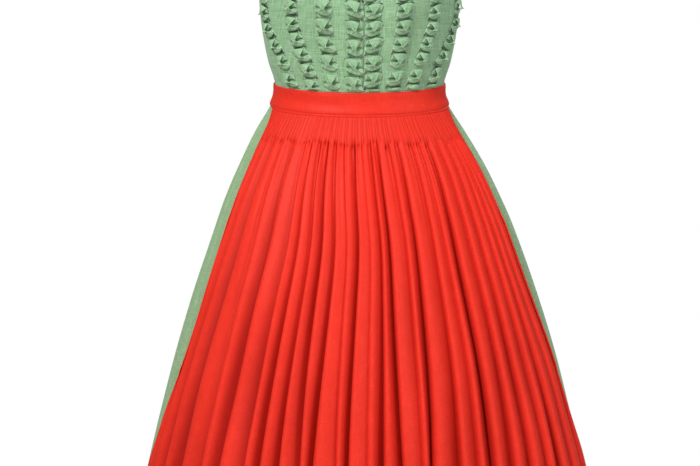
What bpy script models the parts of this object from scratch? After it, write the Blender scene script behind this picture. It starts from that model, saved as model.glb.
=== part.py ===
"""A dirndl as worn: sleeveless ruched bodice, gathered skirt, and an apron tied at the back.

Metres, +Z up. The origin is the middle of the wearer's waist and the front faces -Y, so +X is
the wearer's left. A place on the garment is an azimuth, in degrees from the centre front
towards +X, and a height along the cloth above the waist seam.
"""

from collections import namedtuple
from math import asin, cos, degrees, exp, pi, radians, sin, sqrt

import bmesh
import bpy
import numpy as np
from mathutils import Vector

# Driving sizes
CLOTH = 0.0015
PLEATED_CLOTH = 0.002
TRIM_CLOTH = 0.001
SEAM = 0.0003
# A side seam at its outer face, which the curved walls close to SEAM at their inner face
FACE_SEAM = 0.0006
SHOULDER_SEAM = 0.0007
SHOULDER_HEIGHT = 0.415
SKIRT_LENGTH = 0.700
APRON_LENGTH = 0.650
BAND_HEIGHT = 0.034
SMOCKED_HEIGHT = 0.045
WAIST_DIP = 0.011
WAIST_DIP_REACH = 0.15

# The figure that fills the garment, in millimetres: half width, depth in front and behind the
# origin, and how far the section hangs towards the wearer's left
Section = namedtuple("Section", "height half_width front back sway")
FORM = [Section(*row) for row in (
    (-700, 368, 298, 310, 10),
    (-600, 346, 277, 291, 10),
    (-500, 322, 254, 270, 10),
    (-400, 296, 228, 246, 10),
    (-300, 265, 199, 217, 9),
    (-205, 231, 168, 182, 8),
    (-160, 213, 152, 162, 6),
    (-110, 190, 131, 138, 4),
    (-60, 163, 112, 112, 1),
    (-20, 138, 100, 93, 0),
    (0, 129.5, 95, 87, 0),
    (20, 130.5, 96, 88, 0),
    (50, 140, 103, 92, 0),
    (100, 149.5, 115, 97, 0),
    (150, 154, 123, 101, 0),
    (200, 156, 119, 104, 0),
    (250, 157, 104, 106, 0),
    (300, 158, 84, 104, 0),
    (360, 157, 55, 84, 0),
    (415, 150, 20, 40, 0),
)]

# Shaping of the bodice
CUP_DEPTH = 0.014
CUP_ANGLE, CUP_HEIGHT = 28, 0.150
CUP_SPREAD_ANGLE, CUP_SPREAD_HEIGHT = 18, 0.050
FRONT_TURN, BACK_TURN = 0.300, 0.250
SHOULDER_SLOPE = 0.55
STRAP_INNER = 0.075

# Cut lines of the bodice: azimuths and heights
FRONT_SEAM, BACK_SEAM = 80, 112
UNDERARM = 0.190
UNDERARM_SCOOP = 0.010
NECK_FRONT, NECK_BACK = 0.250, 0.340
NECK_ANGLE, ARMHOLE_ANGLE = 30, 60
NECK_ROUNDNESS = 0.36
FRONT_ARMHOLE_CURVE, BACK_ARMHOLE_CURVE = 2.2, 2.0

# Faces across the bodice panels, and the heights of their rows of points
FRONT_COLUMNS, SIDE_COLUMNS, HALF_BACK_COLUMNS = 10, 6, 9
SIDE_ROWS = 7
SIDE_ROW_CROWDING = 1.25
FRONT_ROWS = (0, 0.012, 0.027, 0.05, 0.075, 0.10, 0.125, 0.15, 0.17, 0.19, 0.22, 0.25)
FRONT_STRAP_ROWS = (0.2525, 0.26, 0.28, 0.31, 0.345, 0.372, 0.392, 0.406, 0.4125, SHOULDER_HEIGHT)
BACK_ROWS = (0, 0.012, 0.03, 0.06, 0.09, 0.12, 0.155, 0.19, 0.225, 0.26, 0.30, NECK_BACK)
BACK_STRAP_ROWS = (0.3415, 0.348, 0.364, 0.385, 0.402, 0.4115, SHOULDER_HEIGHT)

# Frog-mouth ruching, one row each side for each line: distance from the centre front in
# millimetres at the waist, the bust and the row's top, the height of that top, and the pinches
Ruche = namedtuple("Ruche", "waist bust top top_height pinches")
RUCHES = [Ruche(*row) for row in (
    (13.8, 13.8, 13.8, 240, 9),
    (45, 60, 65, 303, 11),
    (72, 107, 104, 411, 17),
    (102, 145, 148, 185, 7),
)]
RUCHE_FOOT_HEIGHT = 0.020
BUST_HEIGHT = 0.130
RUCHE_HALF_WIDTH = 0.0125
RUCHE_LIFT = 0.0018
RUCHE_PINCH_HEIGHT = 0.009
RUCHE_PINCH_HALF_WIDTH = 0.002
RUCHE_FOOT_HALF_WIDTH = 0.0045
# Rows of points along one pinch's pitch: the share of the pitch, and how tightly it is pinched
RUCHE_STATIONS = ((0.0, 1.0), (0.35, 0.3), (0.7, 0.0))
RUCHE_PARTS_A_PITCH = 20

# Folds of the apron: azimuth under the smocking and at the hem, and depth in millimetres
# under the smocking, halfway down and at the hem
Fold = namedtuple("Fold", "top_angle hem_angle top_depth middle_depth hem_depth")
APRON_FOLDS = [Fold(*row) for row in (
    (-64, -78, 1, 3, 4),
    (-60, -71, 2, 4, 7),
    (-53, -59, 3, 8, 15),
    (-47, -51, 1.5, 3, 5),
    (-39, -43, 2.5, 8, 12),
    (-31.5, -36, 2, 5, 5),
    (-28, -28.5, 2, 8, 18),
    (-23, -24.5, 3, 6, 12),
    (-19, -19, 3.5, 8, 4),
    (-14.5, -13, 2.5, 8, 23),
    (-10.5, -9.5, 1, 3, 4),
    (-5, -6.5, 3.5, 7, 10),
    (-1.5, -2.2, 1.5, 3, 4),
    (3, 2.5, 3, 6, 13),
    (6.6, 7.5, 3.5, 9, 8),
    (12.5, 11.3, 2.5, 4, 4),
    (17.5, 16, 3, 9, 20),
    (25, 21, 2.5, 5, 8),
    (29.5, 26, 2, 4, 5),
    (35.5, 31.5, 3, 9, 9),
    (42, 37, 2.5, 5, 8),
    (48, 43.5, 2, 5, 7),
    (53, 51, 1.5, 4, 6),
    (57, 59, 1.5, 4, 8),
    (60.5, 68, 1, 3, 5),
    (64, 78, 1, 2, 4),
)]
# Side edge of the apron: its azimuth on each side at each height in millimetres
Edge = namedtuple("Edge", "height angle")
APRON_EDGE = [Edge(*row) for row in (
    (-650, 86), (-575, 83), (-525, 78), (-475, 75.5), (-430, 73), (-360, 70), (-310, 68.5),
    (-220, 67), (-60, 67), (-40, 68.5), (-17, 75),
)]
APRON_ROWS = (0.100, 0.170, 0.260, 0.360, 0.500, APRON_LENGTH)
COLUMNS_A_FOLD = 4
SMOCK_RELIEF = 0.0008
APRON_LIFT = 0.001

# Pleats of the skirt
SKIRT_ROWS = (0, 0.018, 0.050, 0.120, 0.260, 0.470, SKIRT_LENGTH)
FRONT_PLEATS, BACK_PLEATS = 12, 18
WAIST_PLEAT_DEPTH = 0.0008
FRONT_PLEAT_DEPTH, BACK_PLEAT_DEPTH = 0.007, 0.020
# Each pleat differs from the last: by up to these shares of its pitch and of its depth
PLEAT_STRAY, PLEAT_UNEVENNESS = 0.22, 0.30
STRAY_STEP, UNEVEN_STEP = 2.1, 1.7
PLEAT_OPENING = 0.8
TUCK_WAIST, TUCK_HEM = 0.004, 0.020
TUCK_OPENING = 1.3
TUCK_REACH = 0.030
TUCK_INNER_ANGLE, TUCK_OUTER_ANGLE = 70, 92

# Waistband, ties and bow of the apron
BAND_END = 95
BAND_LIFT = 0.0016
BAND_CLOTH = 0.002
BAND_COLUMNS, TIE_COLUMNS, BAND_ROWS = 30, 12, 3
TIE_HEIGHT = 0.030
TIE_END = 174
BOW_LIFT = 0.0035
KNOT_SIZE = (0.030, 0.022, 0.034)
# A loop's way out from the knot and back: azimuth from the centre back, millimetres it stands
# out and millimetres it droops
Bend = namedtuple("Bend", "angle stand droop")
LOOP = [Bend(*row) for row in (
    (8, 6, 0), (24, 5, 6), (42, 6, 16), (54, 9, 24), (57, 16, 27), (53, 23, 23), (40, 28, 13),
    (23, 27, 4), (8, 17, 0),
)]
LOOP_END_HEIGHT, LOOP_HEIGHT = 0.020, 0.052
LOOP_FULLNESS = 0.6
TAIL_LENGTH = 0.380
TAIL_SPREAD = 4
TAIL_GAP = 0.001
TAIL_TOP_WIDTH, TAIL_HEM_WIDTH = 0.018, 0.055

# Colours
SAGE = (0.300, 0.479, 0.284)
DEEP_SAGE = (0.262, 0.430, 0.246)
CORAL = (0.862, 0.047, 0.030)
DEEP_CORAL = (0.690, 0.028, 0.018)


def smooth(start, end, value):
    """Rises smoothly from 0 at start to 1 at end."""
    share = min(max((value - start) / (end - start), 0.0), 1.0)
    return share * share * (3 - 2 * share)


def curve_through(places, values, place):
    """A smooth curve through values at rising places, level beyond the ends."""
    last = len(places) - 1
    index = max(0, min(last - 1, sum(1 for p in places[1:-1] if p <= place)))

    def slope(i):
        low, high = max(i - 1, 0), min(i + 1, last)
        return (values[high] - values[low]) / (places[high] - places[low])

    span = places[index + 1] - places[index]
    share = min(max((place - places[index]) / span, 0.0), 1.0)
    rise = values[index + 1] - values[index]
    start, end = slope(index) * span, slope(index + 1) * span
    return (values[index] + start * share
            + (3 * rise - 2 * start - end) * share ** 2
            + (start + end - 2 * rise) * share ** 3)


def form(column, height):
    """One column of the form's table at a height, in metres."""
    places = [section.height / 1000 for section in FORM]
    return curve_through(places, [getattr(section, column) / 1000 for section in FORM], height)


def depth_at(side, height):
    """Depth in front of or behind the origin; over the shoulder the cloth turns level."""
    turn, power = (FRONT_TURN, 1) if side == "front" else (BACK_TURN, 2)
    if height <= turn:
        return form(side, height)
    share = min((height - turn) / (SHOULDER_HEIGHT - turn), 1.0)
    return form(side, turn) * sqrt(1 - share ** power)


def form_point(angle, height):
    """The form's point at a place: an oval with cups, a dipping waist and sloping shoulders."""
    turn = radians(angle)
    across = form("half_width", height) * sin(turn)
    if cos(turn) > 0:
        cup = exp(-((abs(angle) - CUP_ANGLE) / CUP_SPREAD_ANGLE) ** 2
                  - ((height - CUP_HEIGHT) / CUP_SPREAD_HEIGHT) ** 2)
        depth = depth_at("front", height) + CUP_DEPTH * cup
    else:
        depth = depth_at("back", height)
    dip = WAIST_DIP * cos(turn) * (1 - smooth(0, WAIST_DIP_REACH, abs(height)))
    slope = SHOULDER_SLOPE * max(abs(across) - STRAP_INNER, 0) * smooth(BACK_TURN, SHOULDER_HEIGHT, height)
    return Vector((across + form("sway", height), -depth * cos(turn), height - dip - slope))


def outward(angle, height):
    """The form's normal there."""
    step = 0.001
    top = min(height + step, SHOULDER_HEIGHT - step / 10)
    along = form_point(angle + 0.5, height) - form_point(angle - 0.5, height)
    up = form_point(angle, top) - form_point(angle, top - 2 * step)
    return along.cross(up).normalized()


def on_form(angle, height, out=0.0):
    """The point that far out from the form."""
    return form_point(angle, height) + outward(angle, height) * out


def degrees_for(length, angle, height):
    """How many degrees of azimuth a length along the form is there."""
    return length / (form_point(angle + 0.5, height) - form_point(angle - 0.5, height)).length


def material(name, colour, roughness):
    made = bpy.data.materials.new(name)
    made.diffuse_color = (*colour, 1)
    made.use_nodes = True
    shader = made.node_tree.nodes["Principled BSDF"]
    shader.inputs["Base Color"].default_value = (*colour, 1)
    shader.inputs["Roughness"].default_value = roughness
    shader.inputs["Metallic"].default_value = 0.0
    return made


def grid(columns, rows):
    """An open grid of faces whose points run from 0 to 1 along X and Y, facing +Z."""
    cloth = bmesh.new()
    bmesh.ops.create_grid(cloth, x_segments=columns, y_segments=rows, size=0.5)
    bmesh.ops.translate(cloth, verts=cloth.verts, vec=(0.5, 0.5, 0))
    return cloth


def add_object(name, cloth, colour, roughness=0.85):
    mesh = bpy.data.meshes.new(name)
    cloth.to_mesh(mesh)
    cloth.free()
    piece = bpy.data.objects.new(name, mesh)
    dirndl.objects.link(piece)
    mesh.materials.append(material(name, colour, roughness))
    mesh.shade_smooth()
    mesh.set_sharp_from_angle(angle=radians(50))
    return piece


def thicken(piece, thickness=CLOTH):
    """Gives a sheet its wall, which grows inwards."""
    wall = piece.modifiers.new("Cloth", "SOLIDIFY")
    wall.thickness = thickness
    wall.offset = -1
    return piece


def add_shell(name, cloth, colour, thickness=CLOTH):
    """An object from an open sheet, with a wall."""
    return thicken(add_object(name, cloth, colour), thickness)


def add_wall(name, columns, rows, outer, inner, colour):
    """A closed wall between an outer sheet and an inner one, both given by column and row shares."""
    cloth = grid(columns, rows)
    front = list(cloth.faces)
    shares = {vert: (vert.co.x, vert.co.y) for vert in cloth.verts}
    made = bmesh.ops.extrude_face_region(cloth, geom=front, use_keep_orig=True)
    moved = [item for item in made["geom"] if isinstance(item, bmesh.types.BMVert)]
    inner_shares = {vert: (vert.co.x, vert.co.y) for vert in moved}
    for vert, (across, up) in shares.items():
        vert.co = outer(across, up)
    for vert, (across, up) in inner_shares.items():
        vert.co = inner(across, up)
    bmesh.ops.recalc_face_normals(cloth, faces=cloth.faces)
    return add_object(name, cloth, colour)


def row_height(rows, share):
    """The height at a share of the way up a list of rows, which the grid's rows hit exactly."""
    place = share * (len(rows) - 1)
    index = min(int(place + 1e-6), len(rows) - 2)
    return rows[index] + (rows[index + 1] - rows[index]) * (place - index)


def neck_edge(start, height):
    """How far round from the middle the neckline is at a height."""
    if height <= start:
        return 0.0
    return NECK_ANGLE * ((height - start) / (SHOULDER_HEIGHT - start)) ** NECK_ROUNDNESS


def armhole_edge(seam, height, power):
    """Azimuth, from the middle of its panel's side, of the armhole above the underarm."""
    share = min(max((height - UNDERARM) / (SHOULDER_HEIGHT - UNDERARM), 0.0), 1.0)
    return ARMHOLE_ANGLE + (seam - ARMHOLE_ANGLE) * (1 - share) ** power


def seam_gap(angle, height):
    """Half a side seam's gap, in degrees."""
    return degrees_for(FACE_SEAM / 2, angle, height)


def clear_of_shoulder_seam(point, side):
    """Keeps a panel on its own side of the seam along the top of the shoulder. side is +1 behind."""
    point.y = side * max(side * point.y, SHOULDER_SEAM)
    return point


def bodice_front(name, side):
    """A front: centre front to side seam below, and up over the strap. side is +1 on the left."""
    rows = FRONT_ROWS + FRONT_STRAP_ROWS
    cloth = grid(FRONT_COLUMNS, len(rows) - 1)
    for vert in cloth.verts:
        height = max(row_height(rows, vert.co.y), SEAM / 2)
        inner = max(neck_edge(NECK_FRONT, height), seam_gap(0, height))
        outer = armhole_edge(FRONT_SEAM, height, FRONT_ARMHOLE_CURVE) - seam_gap(FRONT_SEAM, height)
        across = vert.co.x if side > 0 else 1 - vert.co.x
        angle = side * (inner + (outer - inner) * across)
        vert.co = clear_of_shoulder_seam(on_form(angle, height), -1)
    return add_shell(name, cloth, SAGE)


def bodice_side(name, side):
    """The panel under the arm, its top edge scooped."""
    cloth = grid(SIDE_COLUMNS, SIDE_ROWS)
    for vert in cloth.verts:
        across = vert.co.x if side > 0 else 1 - vert.co.x
        top = UNDERARM - UNDERARM_SCOOP * sin(pi * across)
        height = SEAM / 2 + (top - SEAM / 2) * vert.co.y ** SIDE_ROW_CROWDING
        gap = seam_gap(FRONT_SEAM, height)
        angle = FRONT_SEAM + gap + (BACK_SEAM - FRONT_SEAM - 2 * gap) * across
        vert.co = on_form(side * angle, height)
    return add_shell(name, cloth, SAGE)


def bodice_back(name):
    """The back in one piece, modelled as its left half and mirrored."""
    rows = BACK_ROWS + BACK_STRAP_ROWS
    cloth = grid(HALF_BACK_COLUMNS, len(rows) - 1)
    for vert in cloth.verts:
        height = max(row_height(rows, vert.co.y), SEAM / 2)
        middle = 180 - neck_edge(NECK_BACK, height)
        side = 180 - armhole_edge(180 - BACK_SEAM, height, BACK_ARMHOLE_CURVE)
        side += seam_gap(BACK_SEAM, height)
        angle = side + (middle - side) * vert.co.x
        vert.co = clear_of_shoulder_seam(on_form(angle, height), 1)
        if angle == 180:
            vert.co.x = 0
    piece = add_object(name, cloth, SAGE)
    mirror = piece.modifiers.new("Other half", "MIRROR")
    mirror.use_axis = (True, False, False)
    mirror.merge_threshold = 0.0001
    return thicken(piece)


def ruche_line(row, height):
    """Azimuth of the middle of a ruche at a height."""
    across = row.waist + (row.bust - row.waist) * smooth(0, BUST_HEIGHT, height)
    if height > BUST_HEIGHT:
        across = row.bust + (row.top - row.bust) * smooth(BUST_HEIGHT, row.top_height / 1000, height)
    return degrees(asin(across / 1000 / form("half_width", height)))


def ruche_heights(row, count):
    """Heights that divide a ruche into equal lengths."""
    samples = np.linspace(RUCHE_FOOT_HEIGHT, row.top_height / 1000, 2 * count)
    points = np.array([form_point(ruche_line(row, height), height) for height in samples])
    steps = np.linalg.norm(np.diff(points, axis=0), axis=1)
    run = np.concatenate([[0], np.cumsum(steps)])
    return [float(height) for height in np.interp(np.linspace(0, run[-1], count + 1), run, samples)]


def beside_ruche(row, height, across, out):
    """The point beside a ruche's middle, square to its line, moved out from the bodice."""
    step = 0.002
    angle = ruche_line(row, height)
    run = form_point(angle, height + step / 2) - form_point(angle, height - step / 2)
    rise = run.length / step
    turn = degrees_for(1.0, angle, height)
    lean = (ruche_line(row, height + step) - ruche_line(row, height - step)) / turn / (2 * step * rise)
    square = 1 / sqrt(1 + lean * lean)
    return on_form(angle + across * square * turn, height - across * lean * square / rise, out)


def ruche(name, row, side):
    """One strip of frog-mouth ruching: its edges stand up and nearly meet at each pinch."""
    stations = [(count + place, tight) for count in range(row.pinches) for place, tight in RUCHE_STATIONS]
    stations.append((row.pinches, RUCHE_STATIONS[-1][1]))
    heights = ruche_heights(row, row.pinches * RUCHE_PARTS_A_PITCH)
    cloth = grid(3, len(stations) - 1)
    for vert in cloth.verts:
        place, tight = stations[round(vert.co.y * (len(stations) - 1))]
        if vert.co.x in (0, 1):
            across = RUCHE_HALF_WIDTH + (RUCHE_PINCH_HALF_WIDTH - RUCHE_HALF_WIDTH) * tight
            out = RUCHE_LIFT + (RUCHE_PINCH_HEIGHT - RUCHE_LIFT) * tight
        else:
            across, out = RUCHE_FOOT_HALF_WIDTH, RUCHE_LIFT
        across = across if vert.co.x > 0.5 else -across
        point = beside_ruche(row, heights[round(place * RUCHE_PARTS_A_PITCH)], across, out)
        vert.co = Vector((side * point.x, point.y, point.z))
    if side < 0:
        bmesh.ops.reverse_faces(cloth, faces=cloth.faces)
    return add_shell(name, cloth, DEEP_SAGE, TRIM_CLOTH)


def tuck(angle, height):
    """How far the skirt stands in under the apron, which leaves room for the apron's folds."""
    down = min(max(-height / SKIRT_LENGTH, 0.0), 1.0)
    depth = TUCK_WAIST * smooth(0, TUCK_REACH, -height) + TUCK_HEM * down ** TUCK_OPENING
    return depth * (1 - smooth(TUCK_INNER_ANGLE, TUCK_OUTER_ANGLE, abs(angle)))


def folded(across, lines):
    """The azimuth that share of the way across a row of folds, and how deep the cloth lies there.

    lines holds (azimuth, depth) of one edge, of each fold's valley in turn and of the other edge.
    """
    spans = len(lines) - 1
    span = min(int(across * spans + 1e-6), spans - 1)
    share = across * spans - span
    (low, low_depth), (high, high_depth) = lines[span:span + 2]
    depth = low_depth * max(1 - 2 * share, 0) ** 2 + high_depth * max(2 * share - 1, 0) ** 2
    return low + (high - low) * share, depth


def pleat_lines(middle, pleats, hem_depth, height):
    """(azimuth, depth) of a skirt panel's side edges and pleats at a height."""
    down = -height / SKIRT_LENGTH
    edge = 90 - degrees_for(SEAM / 2, 90, height)
    lines = [(middle - edge, 0.0)]
    for pleat in range(pleats):
        place = (pleat + 0.5 + PLEAT_STRAY * sin(STRAY_STEP * pleat)) / pleats
        uneven = 1 - PLEAT_UNEVENNESS * (1 + sin(UNEVEN_STEP * pleat + middle)) / 2
        depth = WAIST_PLEAT_DEPTH + (hem_depth - WAIST_PLEAT_DEPTH) * down ** PLEAT_OPENING * uneven
        lines.append((middle - 90 + 180 * place, depth))
    return lines + [(middle + edge, 0.0)]


def skirt_panel(name, middle, pleats, hem_depth):
    """Half of the gathered skirt, whose pleats deepen from the waist to the hem."""
    def surface(across, up, inset):
        height = min(-row_height(SKIRT_ROWS, 1 - up), -SEAM / 2)
        angle, depth = folded(across, pleat_lines(middle, pleats, hem_depth, height))
        return on_form(angle, height, -tuck(angle, height) - depth - inset)

    return add_wall(name, (pleats + 1) * COLUMNS_A_FOLD, len(SKIRT_ROWS) - 1,
                    lambda across, up: surface(across, up, 0),
                    lambda across, up: surface(across, up, PLEATED_CLOTH), SAGE)


def apron_edge(height):
    """Azimuth of the apron's side edge."""
    heights = [edge.height / 1000 for edge in APRON_EDGE]
    return curve_through(heights, [edge.angle for edge in APRON_EDGE], height)


def apron_lines(height):
    """(azimuth, depth) of the apron's side edges and folds at a height."""
    top = BAND_HEIGHT / 2 + SMOCKED_HEIGHT
    down = min(max((-height - top) / (APRON_LENGTH - top), 0.0), 1.0)
    opened = smooth(top - SMOCKED_HEIGHT / 2, top, -height)
    edge = apron_edge(height)
    lines = [(-edge, 0.0)]
    for fold in APRON_FOLDS:
        depths = (fold.top_depth, fold.middle_depth, fold.hem_depth)
        depth = curve_through((0, 0.5, 1), depths, down) / 1000 * opened
        lines.append((fold.top_angle + (fold.hem_angle - fold.top_angle) * down, depth))
    return lines + [(edge, 0.0)]


def apron_panel(name):
    """The gathered apron: raised smocking under the band, then folds that deepen to the hem."""
    top = BAND_HEIGHT / 2 + SEAM
    rows = (top, top + SMOCKED_HEIGHT / 2, top + SMOCKED_HEIGHT) + APRON_ROWS
    columns = (len(APRON_FOLDS) + 1) * COLUMNS_A_FOLD

    def surface(across, up, lift):
        """A fold reaches in only until it meets the skirt."""
        height = -row_height(rows, 1 - up)
        angle, depth = folded(across, apron_lines(height))
        return on_form(angle, height, lift - min(depth, tuck(angle, height) + APRON_LIFT / 2))

    def outer(across, up):
        smocked = row_height(rows, 1 - up) < rows[2] + SEAM
        raised = SMOCK_RELIEF * (-1) ** round(across * columns) if smocked else 0.0
        return surface(across, up, APRON_LIFT + PLEATED_CLOTH + raised)

    return add_wall(name, columns, len(rows) - 1, outer,
                    lambda across, up: surface(across, up, APRON_LIFT), CORAL)


def band(name, start, end, height, colour, columns):
    """A flat band round the waist between two azimuths."""
    cloth = grid(columns, BAND_ROWS)
    for vert in cloth.verts:
        angle = start + (end - start) * vert.co.x
        vert.co = on_form(angle, (vert.co.y - 0.5) * height, BAND_LIFT + BAND_CLOTH)
    return add_shell(name, cloth, colour, BAND_CLOTH)


def tie(name, side):
    """A tie from the waistband's end to the knot."""
    gap = degrees_for(SEAM, BAND_END, 0)
    ends = sorted((side * (BAND_END + gap), side * TIE_END))
    return band(name, ends[0], ends[1], TIE_HEIGHT, DEEP_CORAL, TIE_COLUMNS)


def bow_knot(name):
    """The knot, a rounded wrap of cloth."""
    knot = bmesh.new()
    bmesh.ops.create_uvsphere(knot, u_segments=12, v_segments=8, radius=0.5)
    centre = on_form(180, 0, BOW_LIFT + KNOT_SIZE[1] / 2)
    for vert in knot.verts:
        point = Vector([size * share for size, share in zip(KNOT_SIZE, vert.co)])
        vert.co = centre + point
    return add_object(name, knot, DEEP_CORAL)


def bow_loop(name, side):
    """A loop of the bow, gathered at the knot and curved round the back."""
    steps = len(LOOP) - 1
    cloth = grid(steps, 2)
    for vert in cloth.verts:
        at = round(vert.co.x * steps)
        bend = LOOP[at]
        full = sin(pi * min(at, steps - at) / steps) ** LOOP_FULLNESS
        width = LOOP_END_HEIGHT + (LOOP_HEIGHT - LOOP_END_HEIGHT) * full
        height = (vert.co.y - 0.5) * width - bend.droop / 1000
        vert.co = on_form(180 - side * bend.angle, height, BOW_LIFT + bend.stand / 1000)
    return add_shell(name, cloth, DEEP_CORAL)


def bow_tail(name, side):
    """A tail that hangs from the knot over the back of the skirt."""
    cloth = grid(2, 8)
    for vert in cloth.verts:
        down = 1 - vert.co.y
        height = -KNOT_SIZE[2] / 2 - 2 * SEAM - TAIL_LENGTH * down
        width = TAIL_TOP_WIDTH + (TAIL_HEM_WIDTH - TAIL_TOP_WIDTH) * smooth(0, 0.5, down)
        middle = 180 - side * (degrees_for(width / 2 + TAIL_GAP, 180, height) + TAIL_SPREAD * down)
        across = (vert.co.x - 0.5) * degrees_for(width, 180, height)
        vert.co = on_form(middle + across, height, BOW_LIFT + CLOTH)
    return add_shell(name, cloth, DEEP_CORAL)


for leftover in list(bpy.data.objects):
    bpy.data.objects.remove(leftover, do_unlink=True)

dirndl = bpy.data.collections.new("dirndl")
bpy.context.scene.collection.children.link(dirndl)

for side_name, side_sign in (("left", 1), ("right", -1)):
    bodice_front("bodice_front_" + side_name, side_sign)
    bodice_side("bodice_side_" + side_name, side_sign)
    for number, line in enumerate(RUCHES, 1):
        ruche(f"ruche_{side_name}_{number}", line, side_sign)
    tie("apron_tie_" + side_name, side_sign)
    bow_loop("bow_loop_" + side_name, side_sign)
    bow_tail("bow_tail_" + side_name, side_sign)

bodice_back("bodice_back")
skirt_panel("skirt_front", 0, FRONT_PLEATS, FRONT_PLEAT_DEPTH)
skirt_panel("skirt_back", 180, BACK_PLEATS, BACK_PLEAT_DEPTH)
apron_panel("apron_panel")
band("apron_waistband", -BAND_END, BAND_END, BAND_HEIGHT, DEEP_CORAL, BAND_COLUMNS)
bow_knot("bow_knot")
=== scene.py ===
"""The look of a worn dirndl: linen bodice with ruching, gathered skirt, sateen apron and bow.

Metres, +Z up. The origin is the middle of the waist and the front faces -Y. A place on the
cloth is an azimuth in degrees from the centre front towards +X, and a height above the waist.
"""

from collections import namedtuple
from math import cos, pi, radians, sin

import bpy
import numpy as np
from bpy.props import FloatProperty, FloatVectorProperty, IntProperty, PointerProperty
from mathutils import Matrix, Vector


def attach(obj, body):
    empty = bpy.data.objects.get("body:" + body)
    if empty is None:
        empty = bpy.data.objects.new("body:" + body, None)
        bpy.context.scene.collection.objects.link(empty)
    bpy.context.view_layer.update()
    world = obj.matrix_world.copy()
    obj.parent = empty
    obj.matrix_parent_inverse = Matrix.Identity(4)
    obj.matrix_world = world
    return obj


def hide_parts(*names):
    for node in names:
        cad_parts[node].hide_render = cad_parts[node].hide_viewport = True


bl_info = {
    "name": "Dirndl",
    "version": (1, 0, 0),
    "blender": (4, 5, 0),
    "location": "3D View > Sidebar > Dirndl",
    "description": "Dresses the packed solids of a dirndl in finely modelled cloth",
    "category": "Object",
}

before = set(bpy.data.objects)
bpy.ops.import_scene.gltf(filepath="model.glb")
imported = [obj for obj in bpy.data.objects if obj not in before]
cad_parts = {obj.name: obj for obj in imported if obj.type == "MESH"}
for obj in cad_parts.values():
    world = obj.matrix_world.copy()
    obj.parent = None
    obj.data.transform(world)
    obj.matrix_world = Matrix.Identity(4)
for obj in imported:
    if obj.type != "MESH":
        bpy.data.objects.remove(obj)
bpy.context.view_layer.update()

# The figure that fills the garment, in millimetres: half width, depth in front and behind the
# origin, and how far the section hangs towards the wearer's left
Section = namedtuple("Section", "height half_width front back sway")
FIGURE = [Section(*row) for row in (
    (-700, 368, 298, 310, 10),
    (-600, 346, 277, 291, 10),
    (-500, 322, 254, 270, 10),
    (-400, 296, 228, 246, 10),
    (-300, 265, 199, 217, 9),
    (-205, 231, 168, 182, 8),
    (-160, 213, 152, 162, 6),
    (-110, 190, 131, 138, 4),
    (-60, 163, 112, 112, 1),
    (-20, 138, 100, 93, 0),
    (0, 129.5, 95, 87, 0),
    (20, 130.5, 96, 88, 0),
    (50, 140, 103, 92, 0),
    (100, 149.5, 115, 97, 0),
    (150, 154, 123, 101, 0),
    (200, 156, 119, 104, 0),
    (250, 157, 104, 106, 0),
    (300, 158, 84, 104, 0),
    (360, 157, 55, 84, 0),
    (415, 150, 20, 40, 0),
)]
FIGURE_HEIGHTS = [section.height / 1000 for section in FIGURE]
FIGURE_COLUMNS = {
    column: [getattr(section, column) / 1000 for section in FIGURE]
    for column in ("half_width", "front", "back", "sway")
}

# Shaping of the bodice, and its cut lines
CUP_DEPTH = 0.014
CUP_ANGLE, CUP_HEIGHT = 28, 0.150
CUP_SPREAD_ANGLE, CUP_SPREAD_HEIGHT = 18, 0.050
FRONT_TURN, BACK_TURN = 0.300, 0.250
SHOULDER_HEIGHT = 0.415
SHOULDER_SLOPE = 0.55
STRAP_INNER = 0.075
WAIST_DIP, WAIST_DIP_REACH = 0.011, 0.15
FRONT_SEAM, BACK_SEAM = 80, 112
UNDERARM, UNDERARM_SCOOP = 0.190, 0.010
NECK_FRONT, NECK_BACK = 0.250, 0.340
NECK_ANGLE, NECK_ROUNDNESS = 30, 0.36
ARMHOLE_ANGLE = 60
FRONT_ARMHOLE_CURVE, BACK_ARMHOLE_CURVE = 2.2, 2.0
SEAM_GAP = 0.0006
SHOULDER_GAP = 0.0007
SIDE_SEAM_GAP = 0.0003

# Lengths of the skirt and apron, and the waistband
SKIRT_LENGTH = 0.700
APRON_LENGTH = 0.650
BAND_HEIGHT = 0.034
SMOCKED_HEIGHT = 0.045
BAND_END, TIE_END = 95, 174
BAND_LIFT, BAND_THICKNESS = 0.0014, 0.0015
TIE_HEIGHT = 0.030
BOW_LIFT = 0.0035
KNOT_SIZE = (0.030, 0.022, 0.034)

# Frog-mouth ruching, one row each side for each line: distance from the centre front in
# millimetres at the waist, the bust and the row's top, and the height of that top
Ruche = namedtuple("Ruche", "waist bust top top_height")
RUCHES = [Ruche(*row) for row in (
    (13.8, 13.8, 13.8, 240),
    (45, 60, 65, 303),
    (72, 107, 104, 411),
    (102, 145, 148, 185),
)]
RUCHE_FOOT_HEIGHT = 0.018
BUST_HEIGHT = 0.130
# Height of the lowest pinch above the waist, and the pitch of the pinches, in millimetres
Pinches = namedtuple("Pinches", "lowest pitch")
PINCHES = {
    "left": [Pinches(*row) for row in ((34, 26.3), (36, 26.4), (38, 24.9), (36, 27.5))],
    "right": [Pinches(*row) for row in ((27, 28.6), (31, 28.8), (24, 24.5), (30, 26.9))],
}

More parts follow.
